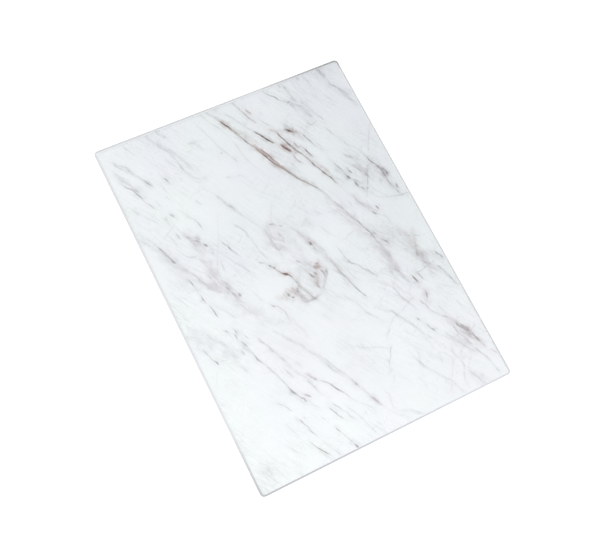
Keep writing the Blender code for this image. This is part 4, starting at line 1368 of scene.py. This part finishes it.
def foot_section(settings, radius, height):
    """Half section of a foot: radius and height from the middle of its top to that of its sole.

    The top's rim is a quarter circle, the side tapers to the quarter circle of the sole's rim,
    and the hollow is the arc of a larger circle through its rim and its middle.
    """
    quarter = np.pi / 2
    top = (radius - settings.top_round, height - settings.top_round)
    sole = (settings.sole_diameter / 2 - settings.sole_round, settings.sole_round)
    dish = settings.dish_diameter / 2
    dish_radius = (dish ** 2 + settings.dish_depth ** 2) / (2 * settings.dish_depth)
    opening = quarter - np.arcsin(dish / dish_radius)
    hollow = (0.0, settings.dish_depth - dish_radius)
    section = np.concatenate([
        [(0.0, height)],
        arc(top, settings.top_round, quarter, 0.0, settings.round_steps),
        arc(sole, settings.sole_round, 0.0, -quarter, settings.round_steps),
        arc(hollow, dish_radius, opening, quarter, settings.round_steps),
    ])
    section[-1, 0] = 0.0
    return section


def turned(section, centre, segments):
    """A half section turned round an upright axis: radius times cosine and sine, and height.

    Its first and last points lie on the axis and close the shape.
    """
    angle = np.arange(segments) * 2 * np.pi / segments
    rings = section[1:-1][::-1]
    x = centre.x + rings[:, :1] * np.cos(angle)
    y = centre.y + rings[:, :1] * np.sin(angle)
    z = np.broadcast_to(rings[:, 1:], x.shape)
    ring_points = np.stack([x, y, z], axis=-1).reshape(-1, 3)
    poles = [(centre.x, centre.y, section[-1, 1]), (centre.x, centre.y, section[0, 1])]
    below = len(ring_points)
    first = np.arange(segments)
    second = (first + 1) % segments
    last = first + below - segments
    last_second = second + below - segments
    low_fan = np.stack([second, first, np.full(segments, below)], axis=-1).tolist()
    high_fan = np.stack([last, last_second, np.full(segments, below + 1)], axis=-1).tolist()
    return np.concatenate([ring_points, poles]), ring_quads(len(rings), segments) + low_fan + high_fan


class BOARD_OT_rubber_feet(bpy.types.Operator):
    """Mould the four rubber feet"""
    bl_idname = "board.rubber_feet"
    bl_label = "Rubber Feet"

    def execute(self, context):
        settings = context.scene.glass_board.feet
        rubber = moulded_clear_rubber(settings)
        for place in PLACES:
            low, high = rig.box("foot_" + place)
            section = foot_section(settings, (high.x - low.x) / 2, high.z - low.z)
            points, faces = turned(section, (low + high) / 2, settings.segments)
            foot = new_piece("rubber_foot_" + place, points, faces, (rubber,))
            stand_for(foot, "foot_" + place, "clear_rubber")
        return {"FINISHED"}


class BOARD_OT_adhesive_discs(bpy.types.Operator):
    """Give the adhesive discs above the feet their finish"""
    bl_idname = "board.adhesive_discs"
    bl_label = "Adhesive Discs"

    def execute(self, context):
        glue = die_cut_adhesive()
        for place in PLACES:
            frame["nodes"]["adhesive_" + place].data.materials[0] = glue
        return {"FINISHED"}


def seen_directly(tree):
    """1 for a ray from the camera, a reflection or a clear piece, and 0 for any other."""
    path = node(tree, "ShaderNodeLightPath")
    mirrored = node(tree, "ShaderNodeMath", {
        0: path.outputs["Is Camera Ray"], 1: path.outputs["Is Glossy Ray"]}, operation="MAXIMUM")
    return node(tree, "ShaderNodeMath", {
        0: mirrored, 1: path.outputs["Is Transmission Ray"]}, operation="MAXIMUM")


def studio_sky(level):
    """Even white light from all round, seen as plain white."""
    world = bpy.data.worlds.new("studio_sky")
    tree = new_tree(world)
    light = node(tree, "ShaderNodeBackground", {"Strength": level})
    white = node(tree, "ShaderNodeBackground", {"Strength": 1.0})
    sky = node(tree, "ShaderNodeMixShader", {0: seen_directly(tree), 1: light, 2: white})
    for background in (light, white):
        background.inputs["Color"].default_value = opaque(hex_colour("#FFFFFF"))
    node(tree, "ShaderNodeOutputWorld", {"Surface": sky})
    return world


def studio_paper(lift):
    """White paper floor, lifted to white where the camera sees it, so that shadows stay soft."""
    material, tree, place = new_material("studio_paper")
    fibres = node(tree, "ShaderNodeTexNoise", {"Vector": place, "Scale": 1 / 0.002, "Detail": 2.0})
    colour = node(tree, "ShaderNodeMix", {
        0: fibres, 6: opaque(hex_colour("#F0F0F0")), 7: opaque(hex_colour("#F4F4F4"))},
        data_type="RGBA")
    paper = node(tree, "ShaderNodeBsdfDiffuse", {"Color": colour})
    glow_level = node(tree, "ShaderNodeMath", {0: seen_directly(tree), 1: lift}, operation="MULTIPLY")
    glow = node(tree, "ShaderNodeEmission", {"Strength": glow_level})
    both = node(tree, "ShaderNodeAddShader", {0: paper, 1: glow})
    node(tree, "ShaderNodeOutputMaterial", {"Surface": both})
    return material


def aimed(place, target, up):
    """Matrix of a camera or lamp that looks from a place towards a target."""
    backward = (Vector(place) - Vector(target)).normalized()
    right = Vector(up).cross(backward).normalized()
    upward = backward.cross(right)
    turn = Matrix((right, upward, backward)).transposed().to_4x4()
    return Matrix.Translation(place) @ turn


class BOARD_OT_studio(bpy.types.Operator):
    """Set up the camera, the soft light and the white floor"""
    bl_idname = "board.studio"
    bl_label = "Studio"

    def execute(self, context):
        scene = context.scene
        settings = scene.glass_board.studio
        camera = bpy.data.objects.new("camera", bpy.data.cameras.new("camera"))
        camera.data.lens = settings.lens
        camera.data.sensor_width = 36.0
        camera.matrix_world = aimed(settings.camera_place, settings.camera_target, settings.camera_up)
        scene.collection.objects.link(camera)
        scene.camera = camera

        lamp = bpy.data.lights.new("key_softbox", "AREA")
        lamp.size = settings.key_size
        lamp.energy = settings.key_power
        key = bpy.data.objects.new("key_softbox", lamp)
        key.matrix_world = aimed(settings.key_place, (0.0, 0.0, 0.0), (0.0, 0.0, 1.0))
        scene.collection.objects.link(key)

        half = settings.floor_size / 2
        corners = np.array([(-half, -half), (half, -half), (half, half), (-half, half)])
        points = np.column_stack([corners, np.full(4, -settings.floor_gap)])
        floor = new_piece("floor", points, [(0, 1, 2, 3)], (studio_paper(settings.floor_lift),))
        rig.stage(floor)

        scene.world = studio_sky(settings.sky_level)
        scene.view_settings.view_transform = "Standard"
        return {"FINISHED"}


class VIEW3D_PT_glass_board(bpy.types.Panel):
    bl_label = "Glass Cutting Board"
    bl_space_type = "VIEW_3D"
    bl_region_type = "UI"
    bl_category = "Board"

    def draw(self, context):
        settings = context.scene.glass_board
        steps = (
            ("board.studio", settings.studio),
            ("board.glass_pane", settings.glass),
            ("board.marble_print", settings.film),
            ("board.white_backing", None),
            ("board.rubber_feet", settings.feet),
            ("board.adhesive_discs", None),
        )
        for operator, group in steps:
            box = self.layout.box()
            box.operator(operator)
            for name in group.bl_rna.properties.keys() if group else ():
                if name not in ("rna_type", "name"):
                    box.prop(group, name)


CLASSES = (
    BOARD_PG_glass,
    BOARD_PG_print,
    BOARD_PG_feet,
    BOARD_PG_studio,
    BOARD_PG_settings,
    BOARD_OT_studio,
    BOARD_OT_glass_pane,
    BOARD_OT_marble_print,
    BOARD_OT_white_backing,
    BOARD_OT_rubber_feet,
    BOARD_OT_adhesive_discs,
    VIEW3D_PT_glass_board,
)


def register():
    for one in CLASSES:
        bpy.utils.register_class(one)
    bpy.types.Scene.glass_board = PointerProperty(type=BOARD_PG_settings)


def unregister():
    del bpy.types.Scene.glass_board
    for one in reversed(CLASSES):
        bpy.utils.unregister_class(one)


def main():
    register()
    bpy.ops.board.studio()
    bpy.ops.board.glass_pane()
    bpy.ops.board.marble_print()
    bpy.ops.board.white_backing()
    bpy.ops.board.rubber_feet()
    bpy.ops.board.adhesive_discs()
    low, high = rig.bounds()
    sizes = {"cad": [list(cad_low), list(cad_high)], "visual": [list(low), list(high)]}
    with open(SIZE_FILE, "w") as file:
        json.dump(sizes, file)


if __name__ == "__main__":
    main()
